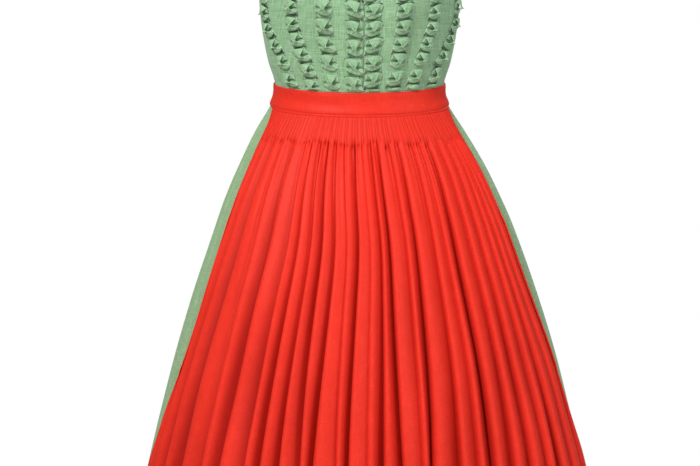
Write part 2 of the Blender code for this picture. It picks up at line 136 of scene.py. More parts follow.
# Folds of the apron: azimuth under the smocking and at the hem, depth in millimetres under the
# smocking, halfway down and at the hem, and how far the ridge beside it leans over the valley
Fold = namedtuple("Fold", "top_angle hem_angle top_depth middle_depth hem_depth lean")
APRON_FOLDS = [Fold(*row) for row in (
    (-64, -78, 1, 3, 4, 0.2),
    (-60, -71, 2, 4, 7, 0.4),
    (-53, -59, 3, 8, 15, 0.7),
    (-47, -51, 1.5, 3, 5, 0.2),
    (-39, -43, 2.5, 8, 12, 0.6),
    (-31.5, -36, 2, 5, 5, 0.3),
    (-28, -28.5, 2, 8, 18, 0.7),
    (-23, -24.5, 3, 6, 12, 0.6),
    (-19, -19, 3.5, 8, 4, 0.5),
    (-14.5, -13, 2.5, 8, 23, 0.7),
    (-10.5, -9.5, 1, 3, 4, 0.2),
    (-5, -6.5, 3.5, 7, 10, 0.5),
    (-1.5, -2.2, 1.5, 3, 4, 0.2),
    (3, 2.5, 3, 6, 13, 0.5),
    (6.6, 7.5, 3.5, 9, 8, 0.6),
    (12.5, 11.3, 2.5, 4, 4, 0.2),
    (17.5, 16, 3, 9, 20, 0.7),
    (25, 21, 2.5, 5, 8, 0.4),
    (29.5, 26, 2, 4, 5, 0.3),
    (35.5, 31.5, 3, 9, 9, 0.6),
    (42, 37, 2.5, 5, 8, 0.4),
    (48, 43.5, 2, 5, 7, 0.4),
    (53, 51, 1.5, 4, 6, 0.3),
    (57, 59, 1.5, 4, 8, 0.4),
    (60.5, 68, 1, 3, 5, 0.3),
    (64, 78, 1, 2, 4, 0.2),
)]
# Side edge of the apron: its azimuth on each side at each height in millimetres
Edge = namedtuple("Edge", "height angle")
APRON_EDGE = [Edge(*row) for row in (
    (-650, 86), (-575, 83), (-525, 78), (-475, 75.5), (-430, 73), (-360, 70), (-310, 68.5),
    (-220, 67), (-60, 67), (-40, 68.5), (-17, 75),
)]
APRON_LIFT = 0.001
APRON_SOLID_THICKNESS = 0.002

# Pleats of the skirt
FRONT_PLEATS, BACK_PLEATS = 12, 18
WAIST_PLEAT_DEPTH = 0.0008
FRONT_PLEAT_DEPTH, BACK_PLEAT_DEPTH = 0.007, 0.020
PLEAT_STRAY, PLEAT_UNEVENNESS = 0.22, 0.30
STRAY_STEP, UNEVEN_STEP = 2.1, 1.7
PLEAT_OPENING = 0.8
# How much deeper the apron's folds are drawn than the solid's
FOLD_GAIN = 2.2
# The skirt's soft cloth gives way under the apron's folds by this much more than the solid
GIVING_WAY = 0.007
# The shares belong to this model and are no tailor's cut
# How far the skirt stands in under the apron at its waist and hem, and how far round
TUCK_WAIST, TUCK_HEM = 0.004, 0.020
TUCK_OPENING, TUCK_REACH = 1.3, 0.030
TUCK_INNER_ANGLE, TUCK_OUTER_ANGLE = 70, 92

# A bow loop's way out from the knot and back: azimuth from the centre back, millimetres it
# stands out and millimetres it droops
Bend = namedtuple("Bend", "angle stand droop")
LOOP = [Bend(*row) for row in (
    (8, 6, 0), (24, 5, 6), (42, 6, 16), (54, 9, 24), (57, 16, 27), (53, 23, 23), (40, 28, 13),
    (23, 27, 4), (8, 17, 0),
)]
LOOP_END_HEIGHT, LOOP_HEIGHT, LOOP_FULLNESS = 0.020, 0.052, 0.6
LOOP_SHORTENED = 0.9
TAIL_LENGTH, TAIL_SPREAD, TAIL_GAP = 0.380, 4, 0.001
TAIL_TOP_WIDTH, TAIL_HEM_WIDTH = 0.018, 0.055

SIDES = (("left", 1), ("right", -1))

# Thickness of the cloths whose pieces are small or hidden
SKIRT_CLOTH, RUCHE_CLOTH = 0.0012, 0.0004
LOOP_CLOTH, TAIL_CLOTH, KNOT_CLOTH = 0.0011, 0.0010, 0.0012

# Rows up a bodice panel, and how much they crowd at the neckline's foot and at the shoulder
LOWER_ROWS, NECK_ROWS, STRAP_ROWS = 46, 42, 30
NECK_CROWDING, STRAP_CROWDING = 1.7, 1.6
# How far above the waist a bodice panel starts, and the length that its curves add to its height
WAIST_CLEARANCE = 0.0002
CUT_LENGTHENING = 1.08
# Height of the worn linen's creases, and how far up the drag lines of the waist reach
CREASE_HEIGHT, WAIST_CREASES = 0.00014, 0.035
# The side seam's pressed allowance: width, softness of its edge, rise, and strength of the
# painted highlight along it
ALLOWANCE, ALLOWANCE_EDGE, ALLOWANCE_RISE, ALLOWANCE_HIGHLIGHT = 0.007, 0.0005, 0.00035, 0.35

# Upper and lower half of a pinched box: reach and bow in shares of the pitch, and middle height
Half = namedtuple("Half", "reach bow middle")
UPPER_HALF, LOWER_HALF = Half(0.37, 0.15, 0.0050), Half(0.23, 0.17, 0.0034)
# The box's rim: its share of the strip's width, its height, and its slant towards the mouth
RIM_SHARE, RIM_HEIGHT, RIM_SLANT = 0.84, 0.0020, 0.0012
# The pinch: the share of the width left in it, how far its cloth sinks and how fast it opens
PINCH_SHARE, PINCH_SINK, PINCH_OPENING = 0.16, 0.0042, 1.6
PINCH_SLANT, LOWER_FALL, BOX_CROWDING, BOX_CREASE = 0.0010, 0.62, 1.3, 0.00034
# The strip's layers under a box: place in shares of the pitch from its middle, and height
UNDER_LAYERS = ((-0.52, 0.0011), (-0.10, 0.0012), (-0.07, 0.0016), (-0.12, 0.0021), (-0.24, 0.0021))
# A strip of ruching: height of its caught ends, their length, and width of its raw edge, which
# is paler from fraying and from a painted highlight
RUCHE_LIFT, RUCHE_END, RAW_EDGE = 0.0011, 0.004, 0.0014

# Where the skirt starts to give way under the apron, where it fully does, and how far round
GIVING_START, GIVING_FULL, GIVING_ANGLE = 0.055, 0.11, 50

# A fold's section: crowding of its points at the valley, powers of its two flanks, and where
# and how far the ridge leans over the valley
FOLD_CROWDING, RISE_POWER, FALL_POWER = 0.09, 2.0, 1.35
LEAN_PEAK, LEAN_SHARE = 0.13, 0.35
APRON_CREST, SKIRT_CREST = 0.24, 0.42
# Depth below which an apron fold stays shallow, its growth to the hem, and the hem's extra depth
SHALLOW, SHALLOW_GROWTH, HEM_DEEPENING = 0.003, 0.004, 0.25

# Gathers under the smocking: degrees apart, and the least and most of their strength, of their
# length and of how far below the smocking they start
GATHER_PITCH = 1.75
GATHER_STRENGTH, GATHER_LENGTH, GATHER_START = (0.35, 1.0), (0.03, 0.16), (-0.006, 0.003)
# Pucker where the smocking ends: strength, place below it and spread
PUCKER, PUCKER_BELOW, PUCKER_SPREAD = 0.9, 0.002, 0.005
# Seam groove under the waistband: place below it, width and depth, and rise of the cloth above it
GROOVE_BELOW, GROOVE_WIDTH, GROOVE_DEPTH, MARGIN_RISE = 0.0036, 0.0007, 0.0009, 0.0004
MARGIN = 0.0056
# Unevenness of the hanging apron: least and added height, and sideways wandering of its folds
APRON_WAVE, APRON_WAVE_GAIN, APRON_WANDER = 0.0006, 0.0016, 0.0035
# Depth at which the painted shade of a fold starts, over what depth it fills, and the shares
# of the small relief and of the smocking's pleats in it
SHADE_START, SHADE_SPAN, RELIEF_SHADE, PLEAT_SHADE = 0.001, 0.010, 0.6, 0.6
# Hems: height of the line of stitches, softness of the step there and rise of the doubled cloth
APRON_HEM, SKIRT_HEM, HEM_EDGE = 0.024, 0.034, 0.0005
APRON_HEM_RISE, SKIRT_HEM_RISE = 0.00035, 0.0004
HEM_MARGIN = 0.002
APRON_HEM_ROWS, SKIRT_HEM_ROWS, SIDE_HEM_COLUMN = 9, 8, 4
APRON_SPAN_COLUMNS, FRONT_SPAN_COLUMNS, BACK_SPAN_COLUMNS = 15, 14, 16

# Gathers of the skirt under the waist: degrees apart, depth and length, and its unevenness
SKIRT_GATHER_PITCH, SKIRT_GATHER_DEPTH, SKIRT_GATHER_LENGTH = 3.6, 0.0022, 0.26
SKIRT_WAVE = 0.0007
FRONT_LEAN, BACK_LEAN = 0.3, 0.45

# The band: puffing of its middle, rounding of its edges, unevenness and depth of its stitch line
BAND_PUFF, BAND_ROUNDING, BAND_WAVE, BAND_STITCH_DEPTH = 0.0006, 0.0012, 0.00035, 0.0004
BAND_STITCH_PLACE, BAND_STITCH_WIDTH = 0.86, 0.05
BAND_STITCH_ROW = 3
# The bow's loops: depth and number of the gathers at the knot, and sag of their cloth
LOOP_GATHER, LOOP_GATHERS, LOOP_SAG = 0.0016, 4.5, 0.0012
# The bow's tails: rise over the skirt, depth of their folds at the knot and below, and sway
TAIL_RISE, TAIL_FOLD, TAIL_FOLD_BELOW, TAIL_SWAY = 0.0022, 0.0028, 0.0009, 0.0012
# The knot: pinch of its middle, flare of one side, depth of its creases, twist and wrap length
KNOT_PINCH, KNOT_FLARE, KNOT_CREASE, KNOT_TWIST, KNOT_WRAP = 0.16, 0.05, 0.055, 0.0012, 0.090
# Share of a thread's thickness by which the middle of a stitch lies above the cloth
STITCH_LIFT = 0.3

# Share of the shade colour left in a cloth's blotches and in its fold valleys as painted shade,
# and the share of white in its raw edges, paler from fraying and from a painted highlight, and
# in the painted highlight of the seam allowance, with how strongly each of the three shows
BLOTCH_SHADE, PAINTED_VALLEY_SHADE, EDGE_WHITE_AND_HIGHLIGHT = 0.86, (0.5, 0.3, 0.3), 0.45
BLOTCH_SHOWS, PAINTED_VALLEY_SHOWS, EDGE_AND_HIGHLIGHT_SHOWS = 0.35, 0.85, 0.7


def linear(code):
    """Linear RGB of an sRGB hex colour."""
    shares = [int(code[i:i + 2], 16) / 255 for i in (1, 3, 5)]
    return tuple(s / 12.92 if s <= 0.04045 else ((s + 0.055) / 1.055) ** 2.4 for s in shares)


def metres(name, description, default):
    """A length that a user may change, in metres."""
    return FloatProperty(name=name, description=description, default=default, unit="LENGTH")


def tint(name, description, code):
    """A colour that a user may change, from its sRGB hex code."""
    return FloatVectorProperty(name=name, description=description, default=linear(code),
                               subtype="COLOR", min=0, max=1)


class DirndlSizes(bpy.types.PropertyGroup):
    """Sizes of the cloth that the solids leave open."""

    bodice_cloth: metres("Bodice cloth", "Thickness of the linen", 0.0011)
    apron_cloth: metres("Apron cloth", "Thickness of the sateen", 0.0009)
    ruche_width: metres("Ruche width", "Width of a ruching strip", 0.0265)
    ruche_height: metres("Ruche height", "How far a pinch stands out", 0.0108)
    ruche_tilt: FloatProperty(
        name="Ruche tilt", description="How far each pinched box is turned", default=radians(20),
        subtype="ANGLE")
    gather_depth: metres("Gather depth", "Depth of the gathers below the smocking", 0.0044)
    smocking_depth: metres("Smocking depth", "Depth of the smocking's stitched pleats", 0.0010)
    stitch_length: metres("Stitch length", "Length of one topstitch", 0.0022)
    stitch_spacing: metres("Stitch spacing", "From one topstitch to the next", 0.0031)
    thread: metres("Thread", "Thickness of the sewing thread", 0.0005)
    seed: IntProperty(name="Seed", description="Chooses the chance differences", default=7)


class DirndlColours(bpy.types.PropertyGroup):
    """Colours of the cloth."""

    bodice: tint("Bodice", "Linen of the bodice", "#b7ddb4")
    bodice_shade: tint("Bodice shade", "Darker threads of the bodice", "#88b686")
    skirt: tint("Skirt", "Linen of the skirt", "#b0cfa2")
    skirt_shade: tint("Skirt shade", "Darker threads of the skirt", "#8db083")
    apron: tint("Apron", "Sateen of the apron", "#fb3e2c")
    apron_shade: tint("Apron shade", "Darker threads of the apron", "#ef3021")


def smooth(start, end, value):
    """Rises smoothly from 0 at start to 1 at end."""
    share = np.clip((value - start) / (end - start), 0, 1)
    return share * share * (3 - 2 * share)


def curve_through(places, values, place):
    """A smooth curve through values at rising places, level beyond the ends."""
    places, values = np.asarray(places, float), np.asarray(values, float)
    place = np.clip(np.asarray(place, float), places[0], places[-1])
    slopes = np.empty_like(values)
    slopes[1:-1] = (values[2:] - values[:-2]) / (places[2:] - places[:-2])
    slopes[0] = (values[1] - values[0]) / (places[1] - places[0])
    slopes[-1] = (values[-1] - values[-2]) / (places[-1] - places[-2])
    index = np.clip(np.searchsorted(places, place, side="right") - 1, 0, len(places) - 2)
    span = places[index + 1] - places[index]
    share = (place - places[index]) / span
    rise = values[index + 1] - values[index]
    start, end = slopes[index] * span, slopes[index + 1] * span
    return (values[index] + start * share
            + (3 * rise - 2 * start - end) * share ** 2
            + (start + end - 2 * rise) * share ** 3)


def figure(column, height):
    """One column of the figure's table at heights, in metres."""
    return curve_through(FIGURE_HEIGHTS, FIGURE_COLUMNS[column], height)


def over_shoulder(column, turn, power, height):
    """Depth at heights; above the turn the cloth bends level over the shoulder."""
    share = np.clip((height - turn) / (SHOULDER_HEIGHT - turn), 0, 1)
    return figure(column, np.minimum(height, turn)) * np.sqrt(1 - share ** power)


def figure_point(angle, height):
    """Points of the figure: an oval with cups, a dipping waist and sloping shoulders."""
    angle, height = np.broadcast_arrays(np.asarray(angle, float), np.asarray(height, float))
    turn = np.radians(angle)
    across = figure("half_width", height) * np.sin(turn)
    cup = np.exp(-((np.abs(angle) - CUP_ANGLE) / CUP_SPREAD_ANGLE) ** 2
                 - ((height - CUP_HEIGHT) / CUP_SPREAD_HEIGHT) ** 2)
    front = over_shoulder("front", FRONT_TURN, 1, height) + CUP_DEPTH * cup
    depth = np.where(np.cos(turn) > 0, front, over_shoulder("back", BACK_TURN, 2, height))
    dip = WAIST_DIP * np.cos(turn) * (1 - smooth(0, WAIST_DIP_REACH, np.abs(height)))
    slope = (SHOULDER_SLOPE * np.maximum(np.abs(across) - STRAP_INNER, 0)
             * smooth(BACK_TURN, SHOULDER_HEIGHT, height))
    return np.stack([across + figure("sway", height), -depth * np.cos(turn),
                     height - dip - slope], axis=-1)


def figure_normal(angle, height):
    """Outward normals of the figure."""
    step = 0.001
    top = np.minimum(np.asarray(height, float) + step, SHOULDER_HEIGHT - step / 10)
    along = figure_point(angle + 0.5, height) - figure_point(angle - 0.5, height)
    up = figure_point(angle, top) - figure_point(angle, top - 2 * step)
    normal = np.cross(along, up)
    return normal / np.linalg.norm(normal, axis=-1, keepdims=True)


def on_figure(angle, height, out):
    """Points that far out from the figure."""
    out = np.asarray(out, float)[..., None]
    return figure_point(angle, height) + figure_normal(angle, height) * out


def degrees_a_metre(angle, height):
    """Degrees of azimuth that a metre along the figure is there."""
    run = figure_point(angle + 0.5, height) - figure_point(angle - 0.5, height)
    return 1 / np.linalg.norm(run, axis=-1)


def add_node(tree, kind, links=None, **settings):
    """Adds a node with its settings, and its inputs from values or other nodes' sockets."""
    node = tree.nodes.new(kind)
    for name, value in settings.items():
        setattr(node, name, value)
    for key, value in (links or {}).items():
        if isinstance(value, bpy.types.NodeSocket):
            tree.links.new(value, node.inputs[key])
        else:
            node.inputs[key].default_value = value
    return node


def new_material(name, **values):
    """A material, its node tree and its shader, with the shader's own sockets set."""
    made = bpy.data.materials.new(name)
    made.use_nodes = True
    tree = made.node_tree
    shader = tree.nodes["Principled BSDF"]
    for socket, value in values.items():
        shader.inputs[socket.replace("_", " ")].default_value = value
    return made, tree, shader


def cloth_noise(tree, across, along, detail=2.0, source="UV"):
    """Noise whose blotches are that many millimetres wide and long, by default on the flat cut."""
    if source == "UV":
        place = add_node(tree, "ShaderNodeUVMap", uv_map="Cut").outputs["UV"]
    else:
        place = add_node(tree, "ShaderNodeTexCoord").outputs["Object"]
    scale = (1000 / across, 1000 / along, 1000 / across)
    place = add_node(tree, "ShaderNodeMapping", {"Vector": place, "Scale": scale}).outputs[0]
    return add_node(tree, "ShaderNodeTexNoise",
                    {"Vector": place, "Scale": 1.0, "Detail": detail, "Roughness": 0.5}).outputs[0]


def laid_over(tree, colour, mask, shows, other):
    """A colour with another laid over it, by a mask and by how strongly that shows."""
    share = add_node(tree, "ShaderNodeMath", {0: mask, 1: shows}, operation="MULTIPLY").outputs[0]
    return add_node(tree, "ShaderNodeMix", {0: share, 6: colour, 7: (*other, 1)},
                    data_type="RGBA").outputs[2]


def woven_cloth(name, light, shade, thread, slub, relief, mottle, roughness, gloss, sheen,
                sheen_colour):
    """A woven cloth. thread and slub are the pitch of its threads and the length of its thick
    places in millimetres, and relief the height of the weave in millimetres. The fold attribute
    lays painted shade in the valleys of the apron's folds. The edge attribute makes raw edges
    paler, from fraying and from a painted highlight, and paints a highlight on the seam allowance."""
    made, tree, shader = new_material(
        name, Roughness=roughness, Sheen_Weight=sheen, Sheen_Roughness=0.45,
        Sheen_Tint=(*sheen_colour, 1), Specular_IOR_Level=gloss, IOR=1.5)
    warp = cloth_noise(tree, thread, slub)
    weft = cloth_noise(tree, slub, thread)
    crossed = add_node(tree, "ShaderNodeMath", {0: warp, 1: weft}, operation="ADD").outputs[0]
    threads = add_node(tree, "ShaderNodeMapRange",
                       {"Value": crossed, "From Min": 0.75, "From Max": 1.25}).outputs[0]
    mottled = cloth_noise(tree, mottle, mottle, 3)
    blotches = add_node(tree, "ShaderNodeMapRange",
                        {"Value": mottled, "From Min": 0.3, "From Max": 0.7}).outputs[0]
    colour = add_node(tree, "ShaderNodeMix", {0: threads, 6: (*shade, 1), 7: (*light, 1)},
                      data_type="RGBA").outputs[2]
    blotch = [BLOTCH_SHADE * part for part in shade]
    valley = [share * part for share, part in zip(PAINTED_VALLEY_SHADE, shade)]
    pale = [(1 - EDGE_WHITE_AND_HIGHLIGHT) * part + EDGE_WHITE_AND_HIGHLIGHT for part in light]
    fold = add_node(tree, "ShaderNodeAttribute", attribute_name="fold").outputs["Fac"]
    edge = add_node(tree, "ShaderNodeAttribute", attribute_name="edge").outputs["Fac"]
    colour = laid_over(tree, colour, blotches, BLOTCH_SHOWS, blotch)
    # Painted shade darkens the valleys of folds, by the fold attribute
    colour = laid_over(tree, colour, fold, PAINTED_VALLEY_SHOWS, valley)
    # Raw edges are made paler, from fraying and from a painted highlight
    colour = laid_over(tree, colour, edge, EDGE_AND_HIGHLIGHT_SHOWS, pale)
    tree.links.new(colour, shader.inputs["Base Color"])
    weave = add_node(tree, "ShaderNodeBump",
                     {"Height": threads, "Strength": 1.0, "Distance": relief / 1000})
    tree.links.new(weave.outputs[0], shader.inputs["Normal"])
    return made


def linen(name, light, shade):
    """Plain-woven linen: matt, with thick and thin threads that show as a crossed grain. Its
    0.6 mm threads are drawn 1.5 mm apart, so that they show from a step away."""
    return woven_cloth(name, light, shade, thread=1.5, slub=24, relief=0.22, mottle=14,
                       roughness=0.88, gloss=0.2, sheen=0.2, sheen_colour=(0.85, 1.0, 0.85))


def sateen(name, light, shade):
    """Cotton sateen: long surface threads give a soft glow along the ridges of its folds."""
    return woven_cloth(name, light, shade, thread=0.9, slub=16, relief=0.05, mottle=30,
                       roughness=0.5, gloss=0.14, sheen=0.04, sheen_colour=(1.0, 0.3, 0.2))


def sewing_thread(name, colour):
    """Polyester sewing thread: smooth, a little shinier than the cloth it lies on."""
    made, tree, shader = new_material(name, Roughness=0.5, Sheen_Weight=0.2)
    twist = cloth_noise(tree, 0.8, 0.8, source="Object")
    dark = [0.75 * part for part in colour]
    mixed = add_node(tree, "ShaderNodeMix", {0: twist, 6: (*dark, 1), 7: (*colour, 1)},
                     data_type="RGBA")
    tree.links.new(mixed.outputs[2], shader.inputs["Base Color"])
    return made


def studio_paper():
    """Matt white studio paper: an even pale ground with a faint, cloudy unevenness."""
    made, tree, shader = new_material("White studio paper", Roughness=0.9)
    clouds = cloth_noise(tree, 60, 60, source="Object")
    mixed = add_node(tree, "ShaderNodeMix",
                     {0: clouds, 6: (0.86, 0.86, 0.86, 1), 7: (0.90, 0.90, 0.90, 1)},
                     data_type="RGBA")
    tree.links.new(mixed.outputs[2], shader.inputs["Base Color"])
    return made


def cloth_piece(name, points, cut, wall, material, attributes=None, closed=False):
    """A cloth object from rows of points that rise and run to the left as seen from inside, or
    closed round. cut holds each point's place on the flat cut, and the wall grows inwards."""
    rows, columns = points.shape[:2]
    index = np.arange(rows * columns).reshape(rows, columns)
    if closed:
        index = np.hstack([index, index[:, :1]])
    corners = np.stack([index[:-1, :-1], index[:-1, 1:], index[1:, 1:], index[1:, :-1]], axis=-1)
    mesh = bpy.data.meshes.new(name)
    mesh.from_pydata(points.reshape(-1, 3).tolist(), [], corners.reshape(-1, 4).tolist())
    loops = np.empty(len(mesh.loops), np.int32)
    mesh.loops.foreach_get("vertex_index", loops)
    layer = mesh.uv_layers.new(name="Cut")
    layer.data.foreach_set("uv", cut.reshape(-1, 2)[loops].astype(np.float32).ravel())
    for attribute, values in (attributes or {}).items():
        made = mesh.attributes.new(attribute, "FLOAT", "POINT")
        made.data.foreach_set("value", np.asarray(values, np.float32).ravel())
    mesh.materials.append(material)
    mesh.shade_smooth()
    piece = bpy.data.objects.new(name, mesh)
    bpy.context.scene.collection.objects.link(piece)
    if wall:
        thickness = piece.modifiers.new("Cloth", "SOLIDIFY")
        thickness.thickness = wall
        thickness.offset = -1
    return piece


def flat_cut(points):
    """Each point's place on the flat cut, in metres: how far along its row and up its column."""
    across = np.linalg.norm(np.diff(points, axis=1), axis=-1)
    up = np.linalg.norm(np.diff(points, axis=0), axis=-1)
    u = np.concatenate([np.zeros((len(points), 1)), np.cumsum(across, axis=1)], axis=1)
    v = np.concatenate([np.zeros((1, points.shape[1])), np.cumsum(up, axis=0)], axis=0)
    u *= u[:, -1].max() / np.maximum(u[:, -1:], 1e-6)
    v = np.repeat(v.mean(axis=1, keepdims=True), points.shape[1], axis=1)
    return np.stack([u, v], axis=-1)


def dress(piece, nodes):
    """Puts a cloth piece on the frame and hides the solids it was cut from."""
    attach(piece, "root")
    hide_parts(*nodes)
    return piece


def ripple(seed, count, *axes):
    """Soft random waves over the given axes, about 1 high, from a sum of a few sines."""
    chance = np.random.default_rng(seed)
    total = 0
    for _ in range(count):
        phase = chance.uniform(0, 2 * pi)
        for axis in axes:
            phase = phase + axis * chance.uniform(0.5, 2.0) * chance.choice((-1, 1))
        total = total + np.sin(phase)
    return total / np.sqrt(count)


def neck_edge(start, height):
    """How far round from the middle the neckline is at heights."""
    share = np.clip((height - start) / (SHOULDER_HEIGHT - start), 0, 1)
    return NECK_ANGLE * share ** NECK_ROUNDNESS


def armhole_edge(seam, height, power):
    """Azimuth, from the middle of its panel's side, of the armhole above the underarm."""
    share = np.clip((height - UNDERARM) / (SHOULDER_HEIGHT - UNDERARM), 0, 1)
    return ARMHOLE_ANGLE + (seam - ARMHOLE_ANGLE) * (1 - share) ** power


def bodice_heights(neck):
    """Rows up a bodice panel, close together at the waist, the neckline's foot and the shoulder."""
    half = (SHOULDER_HEIGHT - neck) / 2
    return np.concatenate([
        np.linspace(WAIST_CLEARANCE, neck, LOWER_ROWS)[:-1],
        neck + half * np.linspace(0, 1, NECK_ROWS) ** NECK_CROWDING,
        SHOULDER_HEIGHT - half * np.linspace(1, 0, STRAP_ROWS)[1:] ** STRAP_CROWDING,
    ])


def cut_from_middle(angle, height, middle):
    """Each point's place on the flat cut, measured from a middle line and the waist."""
    across = (angle - middle) / degrees_a_metre(angle, np.minimum(height, FRONT_TURN))
    return np.stack([across, height * CUT_LENGTHENING], axis=-1)


def worn_creases(angle, height, seed):
    """Small creases of worn linen, in metres: drag lines at the waist and soft unevenness."""
    waist = np.exp(-(height / WAIST_CREASES) ** 2)
    lines = ripple(seed, 5, angle * 0.35, height * 40)
    soft = ripple(seed + 1, 6, angle * 0.06, height * 22)
    return CREASE_HEIGHT * (soft + waist * lines)


def bodice_front(side_name, side, sizes, cloth):
    """A front: centre front to side seam below, and up over the strap."""
    heights = bodice_heights(NECK_FRONT)[:, None]
    share = np.linspace(0, 1, 56)[None, :]
    seam = SEAM_GAP / 2 * degrees_a_metre(FRONT_SEAM, heights)
    closure = SEAM_GAP / 2 * degrees_a_metre(0.0, heights)
    inner = np.maximum(neck_edge(NECK_FRONT, heights), closure)
    outer = armhole_edge(FRONT_SEAM, heights, FRONT_ARMHOLE_CURVE) - seam
    angle = inner + (outer - inner) * share
    height = np.broadcast_to(heights, angle.shape)
    out = worn_creases(angle * side, height, sizes.seed + 20 + side) * smooth(0, 0.1, share)
    # The side seam's allowance, pressed towards the front, stands up a little
    from_seam = (outer - angle) / degrees_a_metre(angle, height)
    welt = smooth(ALLOWANCE + ALLOWANCE_EDGE, ALLOWANCE - ALLOWANCE_EDGE, from_seam)
    welt = welt * (height < UNDERARM)
    out = out + ALLOWANCE_RISE * welt
    points = on_figure(angle * side, height, out)
    points[..., 1] = np.minimum(points[..., 1], -SHOULDER_GAP)
    cut = cut_from_middle(angle * side, height, 0)
    if side < 0:
        points, welt, cut = points[:, ::-1], welt[:, ::-1], cut[:, ::-1]
    # The raised allowance gets a painted highlight through the edge attribute
    piece = cloth_piece("linen_front_" + side_name, points, cut, sizes.bodice_cloth, cloth,
                        {"edge": ALLOWANCE_HIGHLIGHT * welt})
    return dress(piece, ["bodice_front_" + side_name])


def bodice_side(side_name, side, sizes, cloth):
    """The panel under the arm, its top edge scooped."""
    share = np.linspace(0, 1, 26)[None, :]
    up = np.linspace(0, 1, 48)[:, None]
    top = UNDERARM - UNDERARM_SCOOP * np.sin(pi * share)
    height = WAIST_CLEARANCE + (top - WAIST_CLEARANCE) * up
    gap = SEAM_GAP / 2 * degrees_a_metre(FRONT_SEAM, height)
    angle = FRONT_SEAM + gap + (BACK_SEAM - FRONT_SEAM - 2 * gap) * share
    points = on_figure(angle * side, height, worn_creases(angle * side, height, sizes.seed + 5))
    if side < 0:
        points = points[:, ::-1]
    piece = cloth_piece("linen_side_" + side_name, points, flat_cut(points), sizes.bodice_cloth,
                        cloth)
    return dress(piece, ["bodice_side_" + side_name])


def back_halves(sizes):
    """Points and flat cut of the back's two halves, which meet in the middle."""
    heights = bodice_heights(NECK_BACK)[:, None]
    gap = SEAM_GAP / 2 * degrees_a_metre(BACK_SEAM, heights)
    side = 180 - armhole_edge(180 - BACK_SEAM, heights, BACK_ARMHOLE_CURVE) + gap
    middle = 180 - neck_edge(NECK_BACK, heights)
    half = side + (middle - side) * np.linspace(0, 1, 44)[None, :]
    halves = []
    for angle in (half, (360 - half)[:, ::-1]):
        height = np.broadcast_to(heights, angle.shape)
        points = on_figure(angle, height, worn_creases(angle, height, sizes.seed + 3))
        points[..., 1] = np.maximum(points[..., 1], SHOULDER_GAP)
        halves.append((points, cut_from_middle(angle, height, 180)))
    return halves


def bodice_back(sizes, cloth):
    """The back in one piece, its two halves welded below the neckline."""
    halves = back_halves(sizes)
    pieces = []
    for number, (points, cut) in enumerate(halves):
        pieces.append(cloth_piece(f"back_half_{number}", points, cut, 0, cloth))
    with bpy.context.temp_override(active_object=pieces[0], selected_editable_objects=pieces):
        bpy.ops.object.join()
    piece = pieces[0]
    piece.name = piece.data.name = "linen_back"
    weld = piece.modifiers.new("Halves", "WELD")
    weld.merge_threshold = 2e-6
    made = bpy.data.meshes.new_from_object(piece.evaluated_get(bpy.context.evaluated_depsgraph_get()))
    piece.modifiers.clear()
    piece.data = made
    thickness = piece.modifiers.new("Cloth", "SOLIDIFY")
    thickness.thickness = sizes.bodice_cloth
    thickness.offset = -1
    return dress(piece, ["bodice_back"])


def ruche_line(row, height):
    """Azimuth of the middle of a ruche at heights."""
    across = row.waist + (row.bust - row.waist) * smooth(0, BUST_HEIGHT, height)
    upper = row.bust + (row.top - row.bust) * smooth(BUST_HEIGHT, row.top_height / 1000, height)
    across = np.where(height > BUST_HEIGHT, upper, across)
    return np.degrees(np.arcsin(across / 1000 / figure("half_width", height)))


def beside_ruche(row, height, across, out):
    """Points beside a ruche's middle, square to its line, moved out from the bodice."""
    step = 0.002
    angle = ruche_line(row, height)
    run = figure_point(angle, height + step / 2) - figure_point(angle, height - step / 2)
    rise = np.linalg.norm(run, axis=-1) / step
    turn = degrees_a_metre(angle, height)
    lean = (ruche_line(row, height + step) - ruche_line(row, height - step)) / turn
    lean = lean / (2 * step * rise)
    square = 1 / np.sqrt(1 + lean * lean)
    return on_figure(angle + across * square * turn, height - across * lean * square / rise, out)


